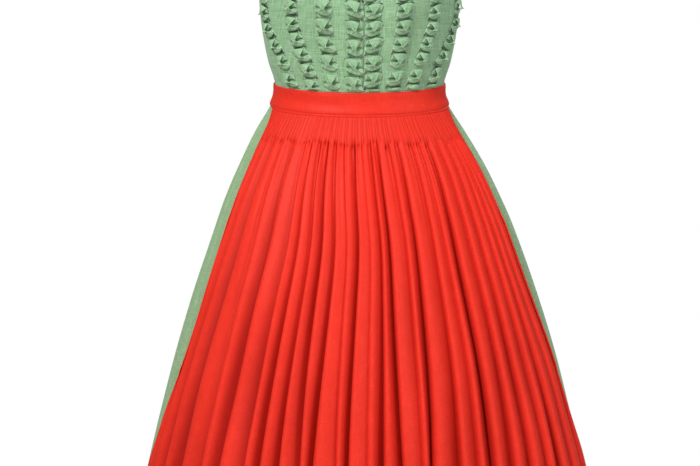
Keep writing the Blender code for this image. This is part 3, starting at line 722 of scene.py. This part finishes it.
def pinched_box(width, pitch, sizes, chance):
    """One box pleat pinched in its middle, as grids of (along, across, out) in metres.

    The strip comes from below, turns back under the box, runs up over it and turns back again.
    Both edges of the box are drawn together over its middle, so they cross like an X. The cloth
    above the pinch fans out smooth and below it falls away steeply, and at the inner side, which
    is positive across, it opens as a mouth over the layer underneath.
    """
    w = np.linspace(-1, 1, 19)
    dome = 1 - w ** 2
    high = sizes.ruche_height * chance.uniform(0.88, 1.12)
    lean = sizes.ruche_tilt * chance.uniform(0.5, 1.5)
    upper = pitch * UPPER_HALF.reach * chance.uniform(0.94, 1.04)
    lower = pitch * LOWER_HALF.reach * chance.uniform(0.94, 1.04)
    half = width / 2
    wave = chance.uniform(0, 2 * pi)
    crease = np.sin(9.5 * w + wave) + 0.6 * np.sin(17 * w + 2 * wave)
    below = -np.linspace(1, 0, 11) ** BOX_CROWDING
    above = np.linspace(0, 1, 13)[1:] ** BOX_CROWDING
    rows = []
    for place in np.concatenate([below, above]):
        reach = abs(place)
        side, corner = (UPPER_HALF, upper) if place > 0 else (LOWER_HALF, lower)
        rim_y = np.sign(place) * (corner + side.bow * pitch * dome)
        rim_z = RIM_HEIGHT + (side.middle - RIM_HEIGHT) * dome + RIM_SLANT * w * (place > 0)
        fall = reach if place > 0 else reach ** LOWER_FALL
        gathered = (1 - reach) ** PINCH_OPENING
        x = reach * RIM_SHARE * half * w + gathered * PINCH_SHARE * half * np.sin(pi * w)
        y = reach * rim_y
        z = high + (rim_z - high) * fall - gathered * PINCH_SINK * dome
        z = z + BOX_CREASE * crease * sin(pi * reach ** 0.8) + PINCH_SLANT * w * gathered
        x = x - y * lean * (1.0 if place > 0 else 1.3)
        rows.append((y, x, z))
    bottom, top = rows[0], rows[-1]
    below, above = [], []
    for share, z in UNDER_LAYERS:
        y = share * pitch
        spare = half * (0.90 + 0.10 * share) * w
        below.append((np.full_like(w, y), spare - y * lean * 0.6, np.full_like(w, z)))
        above.append((np.full_like(w, -y), spare + y * lean * 0.5, np.full_like(w, z)))
    above.reverse()
    turn_low = (bottom[0] * 0.95, bottom[1] * 1.04, bottom[2] * 0.45 + 0.0008)
    turn_high = (top[0] * 0.96, top[1] * 1.04, top[2] * 0.5 + 0.0006)
    rows = below + [turn_low] + rows + [turn_high] + above
    return (np.array(part) for part in zip(*rows))


def ruche(side_name, side, number, row, pinches, sizes, cloth):
    """One strip of frog-mouth ruching, box after box."""
    chance = np.random.default_rng(sizes.seed * 100 + number * 2 + (side > 0))
    samples = np.linspace(RUCHE_FOOT_HEIGHT, row.top_height / 1000, 300)
    line = figure_point(ruche_line(row, samples), samples)
    run = np.concatenate([[0], np.cumsum(np.linalg.norm(np.diff(line, axis=0), axis=1))])
    pitch = pinches.pitch / 1000
    first = np.interp(pinches.lowest / 1000, samples, run)
    while first > 0.3 * pitch:
        first -= pitch
    count = int((run[-1] - first) / pitch + 0.6)
    parts = []
    for box in range(count):
        middle = first + pitch * box + chance.uniform(-0.0008, 0.0008)
        width = sizes.ruche_width * chance.uniform(0.95, 1.04)
        y, x, z = pinched_box(width, pitch, sizes, chance)
        parts.append((middle + y, x, z))
    along, across, out = (np.concatenate(part) for part in zip(*parts))
    # Both ends of the strip are caught flat in the seams
    inside = smooth(0, RUCHE_END, along) * smooth(0, RUCHE_END, run[-1] - along)
    out = RUCHE_LIFT + (out - RUCHE_LIFT) * inside
    height = np.interp(along, run, samples)
    points = beside_ruche(row, height, -across, out)
    points[..., 0] *= side
    columns = across.shape[1]
    # The raw edges are paler, partly from fraying and partly as a painted highlight
    near_edge = 1 - (1 - np.abs(np.linspace(-1, 1, columns))) * sizes.ruche_width / 2 / RAW_EDGE
    edge = np.broadcast_to(np.clip(near_edge, 0, 1), across.shape)
    if side > 0:
        points, edge = points[:, ::-1], edge[:, ::-1]
    cut = flat_cut(points)
    cut[..., 0] = np.linspace(0, sizes.ruche_width, columns)[None, :]
    piece = cloth_piece(f"ruching_{side_name}_{number}", points, cut, RUCHE_CLOTH, cloth,
                        {"edge": edge})
    return dress(piece, [f"ruche_{side_name}_{number}"])


def tuck(angle, height):
    """How far the skirt stands in under the apron."""
    down = np.clip(-height / SKIRT_LENGTH, 0, 1)
    depth = TUCK_WAIST * smooth(0, TUCK_REACH, -height) + TUCK_HEM * down ** TUCK_OPENING
    depth = depth * (1 - smooth(TUCK_INNER_ANGLE, TUCK_OUTER_ANGLE, np.abs(angle)))
    soft = GIVING_WAY * smooth(GIVING_START, GIVING_FULL, -height)
    return depth + soft * (1 - smooth(GIVING_ANGLE, TUCK_INNER_ANGLE, np.abs(angle)))


def folded_rows(lines, leans, columns, crest):
    """Azimuths and depths across rows of folds, and how far each point leans, in metres.

    lines holds an (azimuths, depths) pair of arrays, one value a row, for one edge, each fold's
    valley in turn and the other edge. crest is the share of a span at which its ridge is highest.
    """
    share = np.linspace(0, 1, columns + 1)[:-1][None, :]
    near = share - FOLD_CROWDING * np.sin(2 * pi * share)
    angles, depths, shifts = [], [], []
    for (low, low_depth), (high, high_depth), lean in zip(lines, lines[1:], leans):
        rise = np.maximum(1 - near / crest, 0) ** RISE_POWER
        fall = np.maximum((near - crest) / (1 - crest), 0) ** FALL_POWER
        over = (near / LEAN_PEAK) * np.exp(1 - near / LEAN_PEAK)
        angles.append(low[:, None] + (high - low)[:, None] * near)
        depths.append(low_depth[:, None] * rise + high_depth[:, None] * fall)
        shifts.append(-LEAN_SHARE * lean * low_depth[:, None] * over)
    last_angle, last_depth = lines[-1]
    angles.append(last_angle[:, None])
    depths.append(last_depth[:, None])
    shifts.append(np.zeros_like(last_depth)[:, None])
    return (np.concatenate(part, axis=1) for part in (angles, depths, shifts))


def apron_lines(height):
    """(azimuths, depths) of the apron's side edges and folds at heights."""
    top = BAND_HEIGHT / 2 + SMOCKED_HEIGHT
    down = np.clip((-height - top) / (APRON_LENGTH - top), 0, 1)
    opened = smooth(top - SMOCKED_HEIGHT / 4, top + 0.012, -height)
    heights = [edge.height / 1000 for edge in APRON_EDGE]
    edge = curve_through(heights, [edge.angle for edge in APRON_EDGE], height)
    lines = [(-edge, np.zeros_like(edge))]
    for fold in APRON_FOLDS:
        depths = (fold.top_depth, fold.middle_depth, fold.hem_depth)
        depth = curve_through((0, 0.5, 1), depths, down) / 1000
        # The deep folds are drawn deeper than the solid's, and the shallow ones stay shallow
        depth = FOLD_GAIN * depth * np.sqrt(depth / (SHALLOW + SHALLOW_GROWTH * down)) * opened
        depth = depth * (1 + HEM_DEEPENING * down)
        lines.append((fold.top_angle + (fold.hem_angle - fold.top_angle) * down, depth))
    return lines + [(edge, np.zeros_like(edge))]


def apron_heights():
    """Rows up the apron, close together in the smocking and the gathers below it."""
    top = BAND_HEIGHT / 2 + SEAM_GAP / 2
    smocked = top + SMOCKED_HEIGHT
    hem = APRON_LENGTH - APRON_HEM - HEM_MARGIN
    down = np.concatenate([
        np.linspace(top, top + MARGIN, 9)[:-1],
        np.linspace(top + MARGIN, smocked - 0.006, 8)[:-1],
        np.linspace(smocked - 0.006, smocked + 0.016, 15)[:-1],
        np.linspace(smocked + 0.016, hem, 62)[:-1],
        np.linspace(hem, APRON_LENGTH, APRON_HEM_ROWS),
    ])
    return -down[::-1]


def apron_surface(sizes):
    """The apron's outer surface, and the painted shade of its folds and the smocking's pleats."""
    height = apron_heights()
    lines = apron_lines(height)
    leans = [0.0] + [fold.lean for fold in APRON_FOLDS]
    angle, depth, shift = folded_rows(lines, leans, APRON_SPAN_COLUMNS, APRON_CREST)
    heights = np.broadcast_to(height[:, None], angle.shape)
    chance = np.random.default_rng(sizes.seed + 40)
    below = -heights - (BAND_HEIGHT / 2 + SMOCKED_HEIGHT)
    gather = np.zeros_like(depth)
    pleat = np.zeros_like(depth)
    for span in range(len(lines) - 1):
        start = span * APRON_SPAN_COLUMNS
        stop = start + APRON_SPAN_COLUMNS + (span == len(lines) - 2)
        width = float(lines[span + 1][0][-1] - lines[span][0][-1])
        count = max(1, round(width / GATHER_PITCH))
        phase = (np.arange(start, stop) - start) / APRON_SPAN_COLUMNS * count
        number = np.minimum(phase.astype(int), count)
        kept, reach, begins = (
            chance.uniform(least, most, count + 1)[number]
            for least, most in (GATHER_STRENGTH, GATHER_LENGTH, GATHER_START))
        valley = 1 - np.abs(np.sin(pi * phase)) ** 0.8
        local = below[:, start:stop] - begins[None, :]
        opened = smooth(-0.002, 0.005, local)
        fading = np.exp(-np.maximum(local, 0) / reach[None, :])
        pucker = PUCKER * np.exp(-((local - PUCKER_BELOW) / PUCKER_SPREAD) ** 2)
        gather[:, start:stop] = (valley * kept)[None, :] * opened * (fading + pucker)
        pleat[:, start:stop] = valley[None, :] * (1 - opened)
    from_band = -heights - BAND_HEIGHT / 2
    pleat *= smooth(GROOVE_BELOW - 0.0006, GROOVE_BELOW + 0.0006, from_band)
    margin = smooth(GROOVE_BELOW, GROOVE_BELOW - 0.0008, from_band)
    groove = np.exp(-((from_band - GROOVE_BELOW) / GROOVE_WIDTH) ** 2)
    relief = sizes.gather_depth * gather + sizes.smocking_depth * pleat
    relief = relief - MARGIN_RISE * margin + GROOVE_DEPTH * groove
    soft = ripple(sizes.seed + 50, 7, angle * 0.10, heights * 14)
    wander = ripple(sizes.seed + 51, 5, angle * 0.03, heights * 9)
    loose = smooth(0.01, 0.20, below)
    relief = relief + (APRON_WAVE + APRON_WAVE_GAIN * smooth(0.1, 0.4, below)) * soft * loose
    from_hem = heights + APRON_LENGTH
    relief = relief - APRON_HEM_RISE * smooth(APRON_HEM + HEM_EDGE, APRON_HEM - HEM_EDGE, from_hem)
    room = tuck(angle, heights) + APRON_LIFT / 2
    inward = room * np.tanh(depth / room)
    out = APRON_LIFT + APRON_SOLID_THICKNESS - inward - relief
    # Painted shade: darker where the cloth lies deep in a fold, in its small relief or in a smocked
    # pleat
    shade = (inward + RELIEF_SHADE * relief - SHADE_START) / SHADE_SPAN + PLEAT_SHADE * pleat
    moved = shift * smooth(0, 0.06, below) + APRON_WANDER * wander * loose
    angle = angle + moved * degrees_a_metre(angle, heights)
    return on_figure(angle, heights, out), np.clip(shade, 0, 1)


def apron_panel(sizes, cloth):
    """The gathered apron. Returns its outer surface, for the stitches."""
    points, shade = apron_surface(sizes)
    # The fold attribute carries the painted shade of the folds to the material
    piece = cloth_piece("sateen_apron", points, flat_cut(points), sizes.apron_cloth, cloth,
                        {"fold": shade})
    dress(piece, ["apron_panel"])
    return points


def pleat_lines(middle, pleats, hem_depth, height):
    """(azimuths, depths) of a skirt panel's side edges and pleats at heights."""
    down = -height / SKIRT_LENGTH
    edge = 90 - SIDE_SEAM_GAP / 2 * degrees_a_metre(90.0, height)
    lines = [(middle - edge, np.zeros_like(height))]
    for pleat in range(pleats):
        place = (pleat + 0.5 + PLEAT_STRAY * sin(STRAY_STEP * pleat)) / pleats
        uneven = 1 - PLEAT_UNEVENNESS * (1 + sin(UNEVEN_STEP * pleat + middle)) / 2
        depth = WAIST_PLEAT_DEPTH + (hem_depth - WAIST_PLEAT_DEPTH) * down ** PLEAT_OPENING * uneven
        lines.append((np.full_like(height, middle - 90 + 180 * place), depth))
    return lines + [(middle + edge, np.zeros_like(height))]


def skirt_panel(name, node, middle, pleats, hem_depth, lean, sizes, cloth):
    """Half of the gathered skirt, whose pleats deepen from the waist to the hem. Returns its
    outer surface, for the stitches."""
    hem_line = SKIRT_LENGTH - SKIRT_HEM - HEM_MARGIN
    height = -np.concatenate([
        np.linspace(WAIST_CLEARANCE, 0.060, 16)[:-1],
        np.linspace(0.060, hem_line, 52)[:-1],
        np.linspace(hem_line, SKIRT_LENGTH, SKIRT_HEM_ROWS),
    ])[::-1]
    lines = pleat_lines(middle, pleats, hem_depth, height)
    leans = [0.0] + [lean * (0.6 + 0.4 * sin(1.3 * pleat)) for pleat in range(pleats)]
    columns = BACK_SPAN_COLUMNS if pleats > FRONT_PLEATS else FRONT_SPAN_COLUMNS
    angle, depth, shift = folded_rows(lines, leans, columns, SKIRT_CREST)
    heights = np.broadcast_to(height[:, None], angle.shape)
    down = -heights
    free = smooth(0.03, 0.15, down)
    uneven = 0.6 * ripple(sizes.seed + 60, 3, angle * 0.09)
    gathers = 1 - np.abs(np.sin(pi * angle / SKIRT_GATHER_PITCH + uneven))
    gathers *= smooth(0.001, 0.012, down) * np.exp(-(down / SKIRT_GATHER_LENGTH) ** 2)
    hem = smooth(SKIRT_HEM + HEM_EDGE, SKIRT_HEM - HEM_EDGE, SKIRT_LENGTH - down)
    soft = ripple(sizes.seed + 61, 6, angle * 0.07, heights * 11)
    relief = SKIRT_GATHER_DEPTH * gathers - SKIRT_HEM_RISE * hem + SKIRT_WAVE * soft * free
    relief *= 1 - smooth(86, 89.5, np.abs(((angle - middle + 180) % 360) - 180))
    under_apron = angle if middle == 0 else 180
    out = -tuck(under_apron, heights) - depth - relief
    angle = angle + shift * free * degrees_a_metre(angle, heights)
    points = on_figure(angle, heights, out)
    piece = cloth_piece(name, points, flat_cut(points), SKIRT_CLOTH, cloth)
    dress(piece, [node])
    return points


def band(name, node, start, end, height, sizes, cloth):
    """A pressed band of double cloth round the waist between two azimuths, its edges rounded.
    Returns its outer surface, for the stitches."""
    columns = int(abs(end - start) * 1.6)
    angle = np.linspace(start, end, columns)[None, :]
    share = np.concatenate([[-1, -0.985, -0.95], np.linspace(-0.88, 0.88, 15), [0.95, 0.985, 1]])
    share = share[:, None]
    heights = share * height / 2 + 0 * angle
    angle = np.broadcast_to(angle, heights.shape)
    puffed = BAND_PUFF * (1 - np.abs(share) ** 6) - BAND_ROUNDING * np.abs(share) ** 14
    soft = BAND_WAVE * ripple(sizes.seed + 70, 5, angle * 0.06, heights * 130)
    from_stitches = (np.abs(share) - BAND_STITCH_PLACE) / BAND_STITCH_WIDTH
    stitch_line = BAND_STITCH_DEPTH * np.exp(-from_stitches ** 2)
    out = BAND_LIFT + BAND_THICKNESS + puffed + soft * (1 - share ** 2) - stitch_line
    points = on_figure(angle, heights, out)
    piece = cloth_piece(name, points, flat_cut(points), BAND_THICKNESS, cloth)
    dress(piece, [node])
    return points


def bow_loop(side_name, side, sizes, cloth):
    """A loop of the bow, gathered at the knot and curved round the back."""
    steps = 72
    place = np.linspace(0, 1, steps)[None, :]
    at = np.linspace(0, 1, len(LOOP))
    bend = {part: curve_through(at, [getattr(row, part) for row in LOOP], place)
            for part in ("angle", "stand", "droop")}
    up = np.linspace(-0.5, 0.5, 27)[:, None]
    near_end = np.minimum(place, 1 - place)
    full = np.sin(pi * near_end) ** LOOP_FULLNESS
    width = LOOP_END_HEIGHT + (LOOP_HEIGHT - LOOP_END_HEIGHT) * full
    gathers = LOOP_GATHER * np.sin(2 * pi * LOOP_GATHERS * up + 0.5) * np.exp(-near_end / 0.10)
    sag = LOOP_SAG * np.sin(2 * pi * 1.3 * up + 5 * place + side)
    heights = up * width - bend["droop"] / 1000
    # The stand is measured out from the back, and the gathers move with the loop's outer face
    out = BOW_LIFT + bend["stand"] / 1000 + gathers * np.sign(place - 0.5) + sag * full
    # The loops end a little short of the solids, so that the dress hides them from the front
    angle = 180 - side * LOOP_SHORTENED * bend["angle"] + 0 * up
    points = on_figure(angle, heights, np.maximum(out, BOW_LIFT))
    if side > 0:
        points = points[:, ::-1]
    piece = cloth_piece("sateen_bow_loop_" + side_name, points, flat_cut(points), LOOP_CLOTH,
                        cloth)
    return dress(piece, ["bow_loop_" + side_name])


def bow_tail(side_name, side, sizes, cloth):
    """A tail that hangs from the knot over the back of the skirt, with soft folds from the knot."""
    down = np.linspace(1, 0, 90)[:, None]
    share = np.linspace(-0.5, 0.5, 25)[None, :]
    heights = -KNOT_SIZE[2] / 2 - 0.0006 - TAIL_LENGTH * down + 0 * share
    width = TAIL_TOP_WIDTH + (TAIL_HEM_WIDTH - TAIL_TOP_WIDTH) * smooth(0, 0.5, down)
    metre = degrees_a_metre(180.0, heights)
    middle = 180 - side * ((width / 2 + TAIL_GAP) * metre + TAIL_SPREAD * down)
    folds = np.sin(2 * pi * 2.2 * share + 1.1 * side + 1.5 * down)
    depth = (TAIL_FOLD * np.exp(-down / 0.35) + TAIL_FOLD_BELOW) * smooth(0, 0.06, down)
    out = BOW_LIFT + TAIL_RISE + depth * folds + TAIL_SWAY * np.sin(9 * down + side)
    points = on_figure(middle + share * width * metre, heights, np.maximum(out, TAIL_RISE))
    piece = cloth_piece("sateen_bow_tail_" + side_name, points, flat_cut(points), TAIL_CLOTH,
                        cloth)
    return dress(piece, ["bow_tail_" + side_name])


def bow_knot(sizes, cloth):
    """The knot: a strip wrapped over the middle of the bow, with creases along the wrap."""
    turn = np.linspace(0, 2 * pi, 56, endpoint=False)[None, :]
    share = np.linspace(-1, 1, 25)[:, None]
    centre = on_figure(180.0, 0.0, BOW_LIFT + KNOT_SIZE[1] / 2)
    pinch = 1 - KNOT_PINCH * np.cos(pi * share / 2) ** 2 + KNOT_FLARE * share
    crease = 1 - KNOT_CREASE * np.abs(np.sin(pi * 2.6 * share + 0.35 * np.cos(turn)))
    tall = KNOT_SIZE[2] / 2 * pinch * crease
    deep = KNOT_SIZE[1] / 2 * pinch * crease
    points = np.stack([
        centre[0] + KNOT_SIZE[0] / 2 * share + KNOT_TWIST * np.sin(turn),
        centre[1] - deep * np.cos(turn),
        centre[2] + tall * np.sin(turn),
    ], axis=-1)
    cut = np.stack(np.broadcast_arrays(turn * 0.0145, share * KNOT_SIZE[0] / 2), axis=-1)
    piece = cloth_piece("sateen_bow_knot", points[:, ::-1], cut, KNOT_CLOTH, cloth,
                        closed=True)
    return dress(piece, ["bow_knot"])


def stitch_tree():
    """Geometry Nodes that lay a row of stitches along each line of a mesh."""
    tree = bpy.data.node_groups.new("Row of stitches", "GeometryNodeTree")
    tree.interface.new_socket("Geometry", in_out="INPUT", socket_type="NodeSocketGeometry")
    for name, value in (("Spacing", 0.003), ("Length", 0.002), ("Thread", 0.0005)):
        socket = tree.interface.new_socket(name, in_out="INPUT", socket_type="NodeSocketFloat")
        socket.default_value = value
        socket.subtype = "DISTANCE"
    tree.interface.new_socket("Material", in_out="INPUT", socket_type="NodeSocketMaterial")
    tree.interface.new_socket("Geometry", in_out="OUTPUT", socket_type="NodeSocketGeometry")
    given = add_node(tree, "NodeGroupInput").outputs
    curve = add_node(tree, "GeometryNodeMeshToCurve", {"Mesh": given["Geometry"]})
    spaced = add_node(tree, "GeometryNodeResampleCurve",
                      {"Curve": curve.outputs[0], "Length": given["Spacing"]}, mode="LENGTH")
    tangent = add_node(tree, "GeometryNodeInputTangent")
    turned = add_node(tree, "FunctionNodeAlignRotationToVector",
                      {"Vector": tangent.outputs[0]}, axis="Z")
    bead = add_node(tree, "GeometryNodeMeshUVSphere", {"Segments": 6, "Rings": 4, "Radius": 0.5})
    size = add_node(tree, "ShaderNodeCombineXYZ",
                    {"X": given["Thread"], "Y": given["Thread"], "Z": given["Length"]})
    stitch = add_node(tree, "GeometryNodeTransform",
                      {"Geometry": bead.outputs[0], "Scale": size.outputs[0]})
    placed = add_node(tree, "GeometryNodeInstanceOnPoints",
                      {"Points": spaced.outputs[0], "Instance": stitch.outputs[0],
                       "Rotation": turned.outputs[0]})
    whole = add_node(tree, "GeometryNodeRealizeInstances", {0: placed.outputs[0]})
    rounded = add_node(tree, "GeometryNodeSetShadeSmooth", {0: whole.outputs[0]})
    coloured = add_node(tree, "GeometryNodeSetMaterial",
                        {"Geometry": rounded.outputs[0], "Material": given["Material"]})
    add_node(tree, "NodeGroupOutput", {"Geometry": coloured.outputs[0]})
    return tree


def stitch_rows(name, lines, sizes, thread):
    """A mesh of stitches along lines, each a list of points just above the cloth."""
    verts, edges = [], []
    for line in lines:
        start = len(verts)
        verts += [tuple(point) for point in line]
        edges += [(i, i + 1) for i in range(start, len(verts) - 1)]
    mesh = bpy.data.meshes.new(name)
    mesh.from_pydata(verts, edges, [])
    piece = bpy.data.objects.new(name, mesh)
    bpy.context.scene.collection.objects.link(piece)
    tree = bpy.data.node_groups.get("Row of stitches") or stitch_tree()
    rows = piece.modifiers.new("Stitches", "NODES")
    rows.node_group = tree
    given = {"Spacing": sizes.stitch_spacing, "Length": sizes.stitch_length,
             "Thread": sizes.thread, "Material": thread}
    for item in tree.interface.items_tree:
        if item.item_type == "SOCKET" and item.in_out == "INPUT" and item.name in given:
            rows[item.identifier] = given[item.name]
    sewn = piece.evaluated_get(bpy.context.evaluated_depsgraph_get())
    piece.data = bpy.data.meshes.new_from_object(sewn)
    piece.modifiers.clear()
    piece.data.name = name
    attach(piece, "root")
    return piece


def materials():
    """The cloths and threads, made once."""
    known = bpy.data.materials
    if "Sage linen" not in known:
        colours = bpy.context.scene.dirndl_colours
        linen("Sage linen", colours.bodice, colours.bodice_shade)
        linen("Sage linen ruching", colours.bodice, colours.bodice_shade)
        linen("Sage linen skirt", colours.skirt, colours.skirt_shade)
        sateen("Coral sateen", colours.apron, colours.apron_shade)
        sateen("Coral sateen band", colours.apron, colours.apron_shade)
        sewing_thread("Sage thread", linear("#9fc49c"))
        sewing_thread("Coral thread", linear("#d8382c"))
    return known


def from_normal(points, lift):
    """Rows of points lifted off a surface grid along its normals."""
    across = np.gradient(points, axis=1)
    up = np.gradient(points, axis=0)
    normal = np.cross(across, up)
    normal /= np.maximum(np.linalg.norm(normal, axis=-1, keepdims=True), 1e-12)
    return points + normal * lift


class DIRNDL_OT_bodice(bpy.types.Operator):
    """Makes the linen bodice: two fronts, two side panels and the back"""

    bl_idname = "dirndl.bodice"
    bl_label = "Bodice"

    def execute(self, context):
        sizes, known = context.scene.dirndl_sizes, materials()
        for side_name, side in SIDES:
            bodice_front(side_name, side, sizes, known["Sage linen"])
            bodice_side(side_name, side, sizes, known["Sage linen"])
        bodice_back(sizes, known["Sage linen"])
        return {"FINISHED"}


class DIRNDL_OT_ruching(bpy.types.Operator):
    """Makes the eight strips of frog-mouth ruching"""

    bl_idname = "dirndl.ruching"
    bl_label = "Ruching"

    def execute(self, context):
        sizes, known = context.scene.dirndl_sizes, materials()
        for side_name, side in SIDES:
            for number, (row, pinches) in enumerate(zip(RUCHES, PINCHES[side_name]), 1):
                ruche(side_name, side, number, row, pinches, sizes, known["Sage linen ruching"])
        return {"FINISHED"}


class DIRNDL_OT_skirt(bpy.types.Operator):
    """Makes the gathered skirt and its hem stitching"""

    bl_idname = "dirndl.skirt"
    bl_label = "Skirt"

    def execute(self, context):
        sizes, known = context.scene.dirndl_sizes, materials()
        panels = (
            ("linen_skirt_front", "skirt_front", 0, FRONT_PLEATS, FRONT_PLEAT_DEPTH, FRONT_LEAN),
            ("linen_skirt_back", "skirt_back", 180, BACK_PLEATS, BACK_PLEAT_DEPTH, BACK_LEAN),
        )
        lines = []
        for panel in panels:
            points = skirt_panel(*panel, sizes, known["Sage linen skirt"])
            lines.append(from_normal(points, sizes.thread * STITCH_LIFT)[SKIRT_HEM_ROWS - 1])
        stitch_rows("skirt_hem_stitching", lines, sizes, known["Sage thread"])
        return {"FINISHED"}


class DIRNDL_OT_apron(bpy.types.Operator):
    """Makes the smocked and gathered apron with its hems"""

    bl_idname = "dirndl.apron"
    bl_label = "Apron"

    def execute(self, context):
        sizes, known = context.scene.dirndl_sizes, materials()
        points = apron_panel(sizes, known["Coral sateen"])
        lifted = from_normal(points, sizes.thread * STITCH_LIFT)
        sides = [lifted[:, column] for column in (SIDE_HEM_COLUMN, -1 - SIDE_HEM_COLUMN)]
        lines = [lifted[APRON_HEM_ROWS - 1], *sides]
        stitch_rows("apron_hem_stitching", lines, sizes, known["Coral thread"])
        return {"FINISHED"}


class DIRNDL_OT_waistband(bpy.types.Operator):
    """Makes the apron's waistband, its ties and the bow at the back"""

    bl_idname = "dirndl.waistband"
    bl_label = "Waistband and bow"

    def execute(self, context):
        sizes, known = context.scene.dirndl_sizes, materials()
        cloth = known["Coral sateen band"]
        points = band("sateen_waistband", "apron_waistband", -BAND_END, BAND_END, BAND_HEIGHT,
                      sizes, cloth)
        lifted = from_normal(points, sizes.thread * STITCH_LIFT)
        lines = [lifted[row] for row in (BAND_STITCH_ROW, -1 - BAND_STITCH_ROW)]
        gap = SEAM_GAP / 2 * float(degrees_a_metre(float(BAND_END), 0.0))
        for side_name, side in SIDES:
            ends = sorted((side * (BAND_END + gap), side * TIE_END))
            band("sateen_tie_" + side_name, "apron_tie_" + side_name, *ends, TIE_HEIGHT, sizes,
                 cloth)
            bow_loop(side_name, side, sizes, cloth)
            bow_tail(side_name, side, sizes, cloth)
        bow_knot(sizes, cloth)
        stitch_rows("waistband_stitching", lines, sizes, known["Coral thread"])
        return {"FINISHED"}


# The camera stands in front of the dress, a little to its right and above its waist
CAMERA_DISTANCE = 3.18
CAMERA_RISE = 0.39
CAMERA_AZIMUTH = -3
CAMERA_TARGET = (-0.0147, 0.0008, -0.216)
PHOTO_WIDTH = 700
FOCAL_PIXELS = 2067
SENSOR = 36.0
FLOOR_HEIGHT = -1.12
FLOOR_RADIUS = 1.3

# Soft lights of the studio, as large white panels: where they stand and face, and their watts
Light = namedtuple("Light", "name place aim size watts colour")
LIGHTS = [Light(*row) for row in (
    ("key", (-1.2, -2.2, 1.7), (0, 0, 0), (0.6, 0.8), 64, (1.0, 0.99, 0.97)),
    ("fill", (2.2, -2.2, 0.6), (0, 0, -0.2), (1.2, 1.4), 25, (0.98, 0.99, 1.0)),
    ("above", (0, -0.6, 2.6), (0, 0, 0), (2.6, 2.0), 34, (1.0, 1.0, 1.0)),
    ("back", (0.6, 3.2, 1.9), (0, 0, -0.2), (2.4, 1.8), 85, (1.0, 1.0, 1.0)),
)]
# Strength of the white surroundings as the camera sees them, and as they light the dress
BACKGROUND_SEEN, BACKGROUND_GLOW = 1.0, 0.22


def soft_light(name, place, aim, size, power, colour):
    """A large soft light that faces a point."""
    made = bpy.data.lights.new(name, "AREA")
    made.shape = "RECTANGLE"
    made.size, made.size_y = size
    made.energy = power
    made.color = colour
    light = bpy.data.objects.new(name, made)
    bpy.context.scene.collection.objects.link(light)
    light.location = place
    light.rotation_euler = (Vector(aim) - Vector(place)).to_track_quat("-Z", "Y").to_euler()


class DIRNDL_OT_stage(bpy.types.Operator):
    """Makes the pale floor, the white surroundings, the soft light and the camera"""

    bl_idname = "dirndl.stage"
    bl_label = "Stage"

    def execute(self, context):
        scene = context.scene
        mesh = bpy.data.meshes.new("floor")
        turns = np.linspace(0, 2 * pi, 96, endpoint=False)
        rim = [(FLOOR_RADIUS * cos(turn), FLOOR_RADIUS * sin(turn), FLOOR_HEIGHT) for turn in turns]
        mesh.from_pydata(rim, [], [tuple(range(len(rim)))])
        floor = bpy.data.objects.new("floor", mesh)
        scene.collection.objects.link(floor)
        mesh.materials.append(studio_paper())

        world = bpy.data.worlds.new("White studio")
        scene.world = world
        world.use_nodes = True
        tree = world.node_tree
        seen = tree.nodes["Background"]
        seen.inputs["Color"].default_value = (1, 1, 1, 1)
        seen.inputs["Strength"].default_value = BACKGROUND_SEEN
        glow = add_node(tree, "ShaderNodeBackground",
                        {"Color": (1, 1, 1, 1), "Strength": BACKGROUND_GLOW})
        path = add_node(tree, "ShaderNodeLightPath")
        both = add_node(tree, "ShaderNodeMixShader", {
            0: path.outputs["Is Camera Ray"], 1: glow.outputs[0], 2: seen.outputs[0]})
        tree.links.new(both.outputs[0], tree.nodes["World Output"].inputs["Surface"])

        scene.view_settings.view_transform = "Standard"
        for light in LIGHTS:
            soft_light(*light)

        lens = bpy.data.cameras.new("camera")
        lens.sensor_width = SENSOR
        lens.lens = SENSOR * FOCAL_PIXELS / PHOTO_WIDTH
        camera = bpy.data.objects.new("camera", lens)
        scene.collection.objects.link(camera)
        turn = radians(CAMERA_AZIMUTH)
        back = Vector((CAMERA_DISTANCE * sin(turn), -CAMERA_DISTANCE * cos(turn), CAMERA_RISE))
        camera.location = Vector(CAMERA_TARGET) + back
        camera.rotation_euler = (-back).to_track_quat("-Z", "Y").to_euler()
        scene.camera = camera
        return {"FINISHED"}


class DIRNDL_PT_panel(bpy.types.Panel):
    """Lists the dirndl's pieces and sizes"""

    bl_idname = "DIRNDL_PT_panel"
    bl_label = "Dirndl"
    bl_space_type = "VIEW_3D"
    bl_region_type = "UI"
    bl_category = "Dirndl"

    def draw(self, context):
        for group in (context.scene.dirndl_sizes, context.scene.dirndl_colours):
            for name in group.__annotations__:
                self.layout.prop(group, name)
        for operator in OPERATORS:
            self.layout.operator(operator.bl_idname)


OPERATORS = (
    DIRNDL_OT_stage,
    DIRNDL_OT_bodice,
    DIRNDL_OT_ruching,
    DIRNDL_OT_skirt,
    DIRNDL_OT_apron,
    DIRNDL_OT_waistband,
)
CLASSES = (DirndlSizes, DirndlColours, *OPERATORS, DIRNDL_PT_panel)


def register():
    for made in CLASSES:
        bpy.utils.register_class(made)
    bpy.types.Scene.dirndl_sizes = PointerProperty(type=DirndlSizes)
    bpy.types.Scene.dirndl_colours = PointerProperty(type=DirndlColours)


def unregister():
    del bpy.types.Scene.dirndl_sizes
    del bpy.types.Scene.dirndl_colours
    for made in reversed(CLASSES):
        bpy.utils.unregister_class(made)


def main():
    register()
    bpy.ops.dirndl.stage()
    bpy.ops.dirndl.bodice()
    bpy.ops.dirndl.ruching()
    bpy.ops.dirndl.skirt()
    bpy.ops.dirndl.apron()
    bpy.ops.dirndl.waistband()


if __name__ == "__main__":
    main()
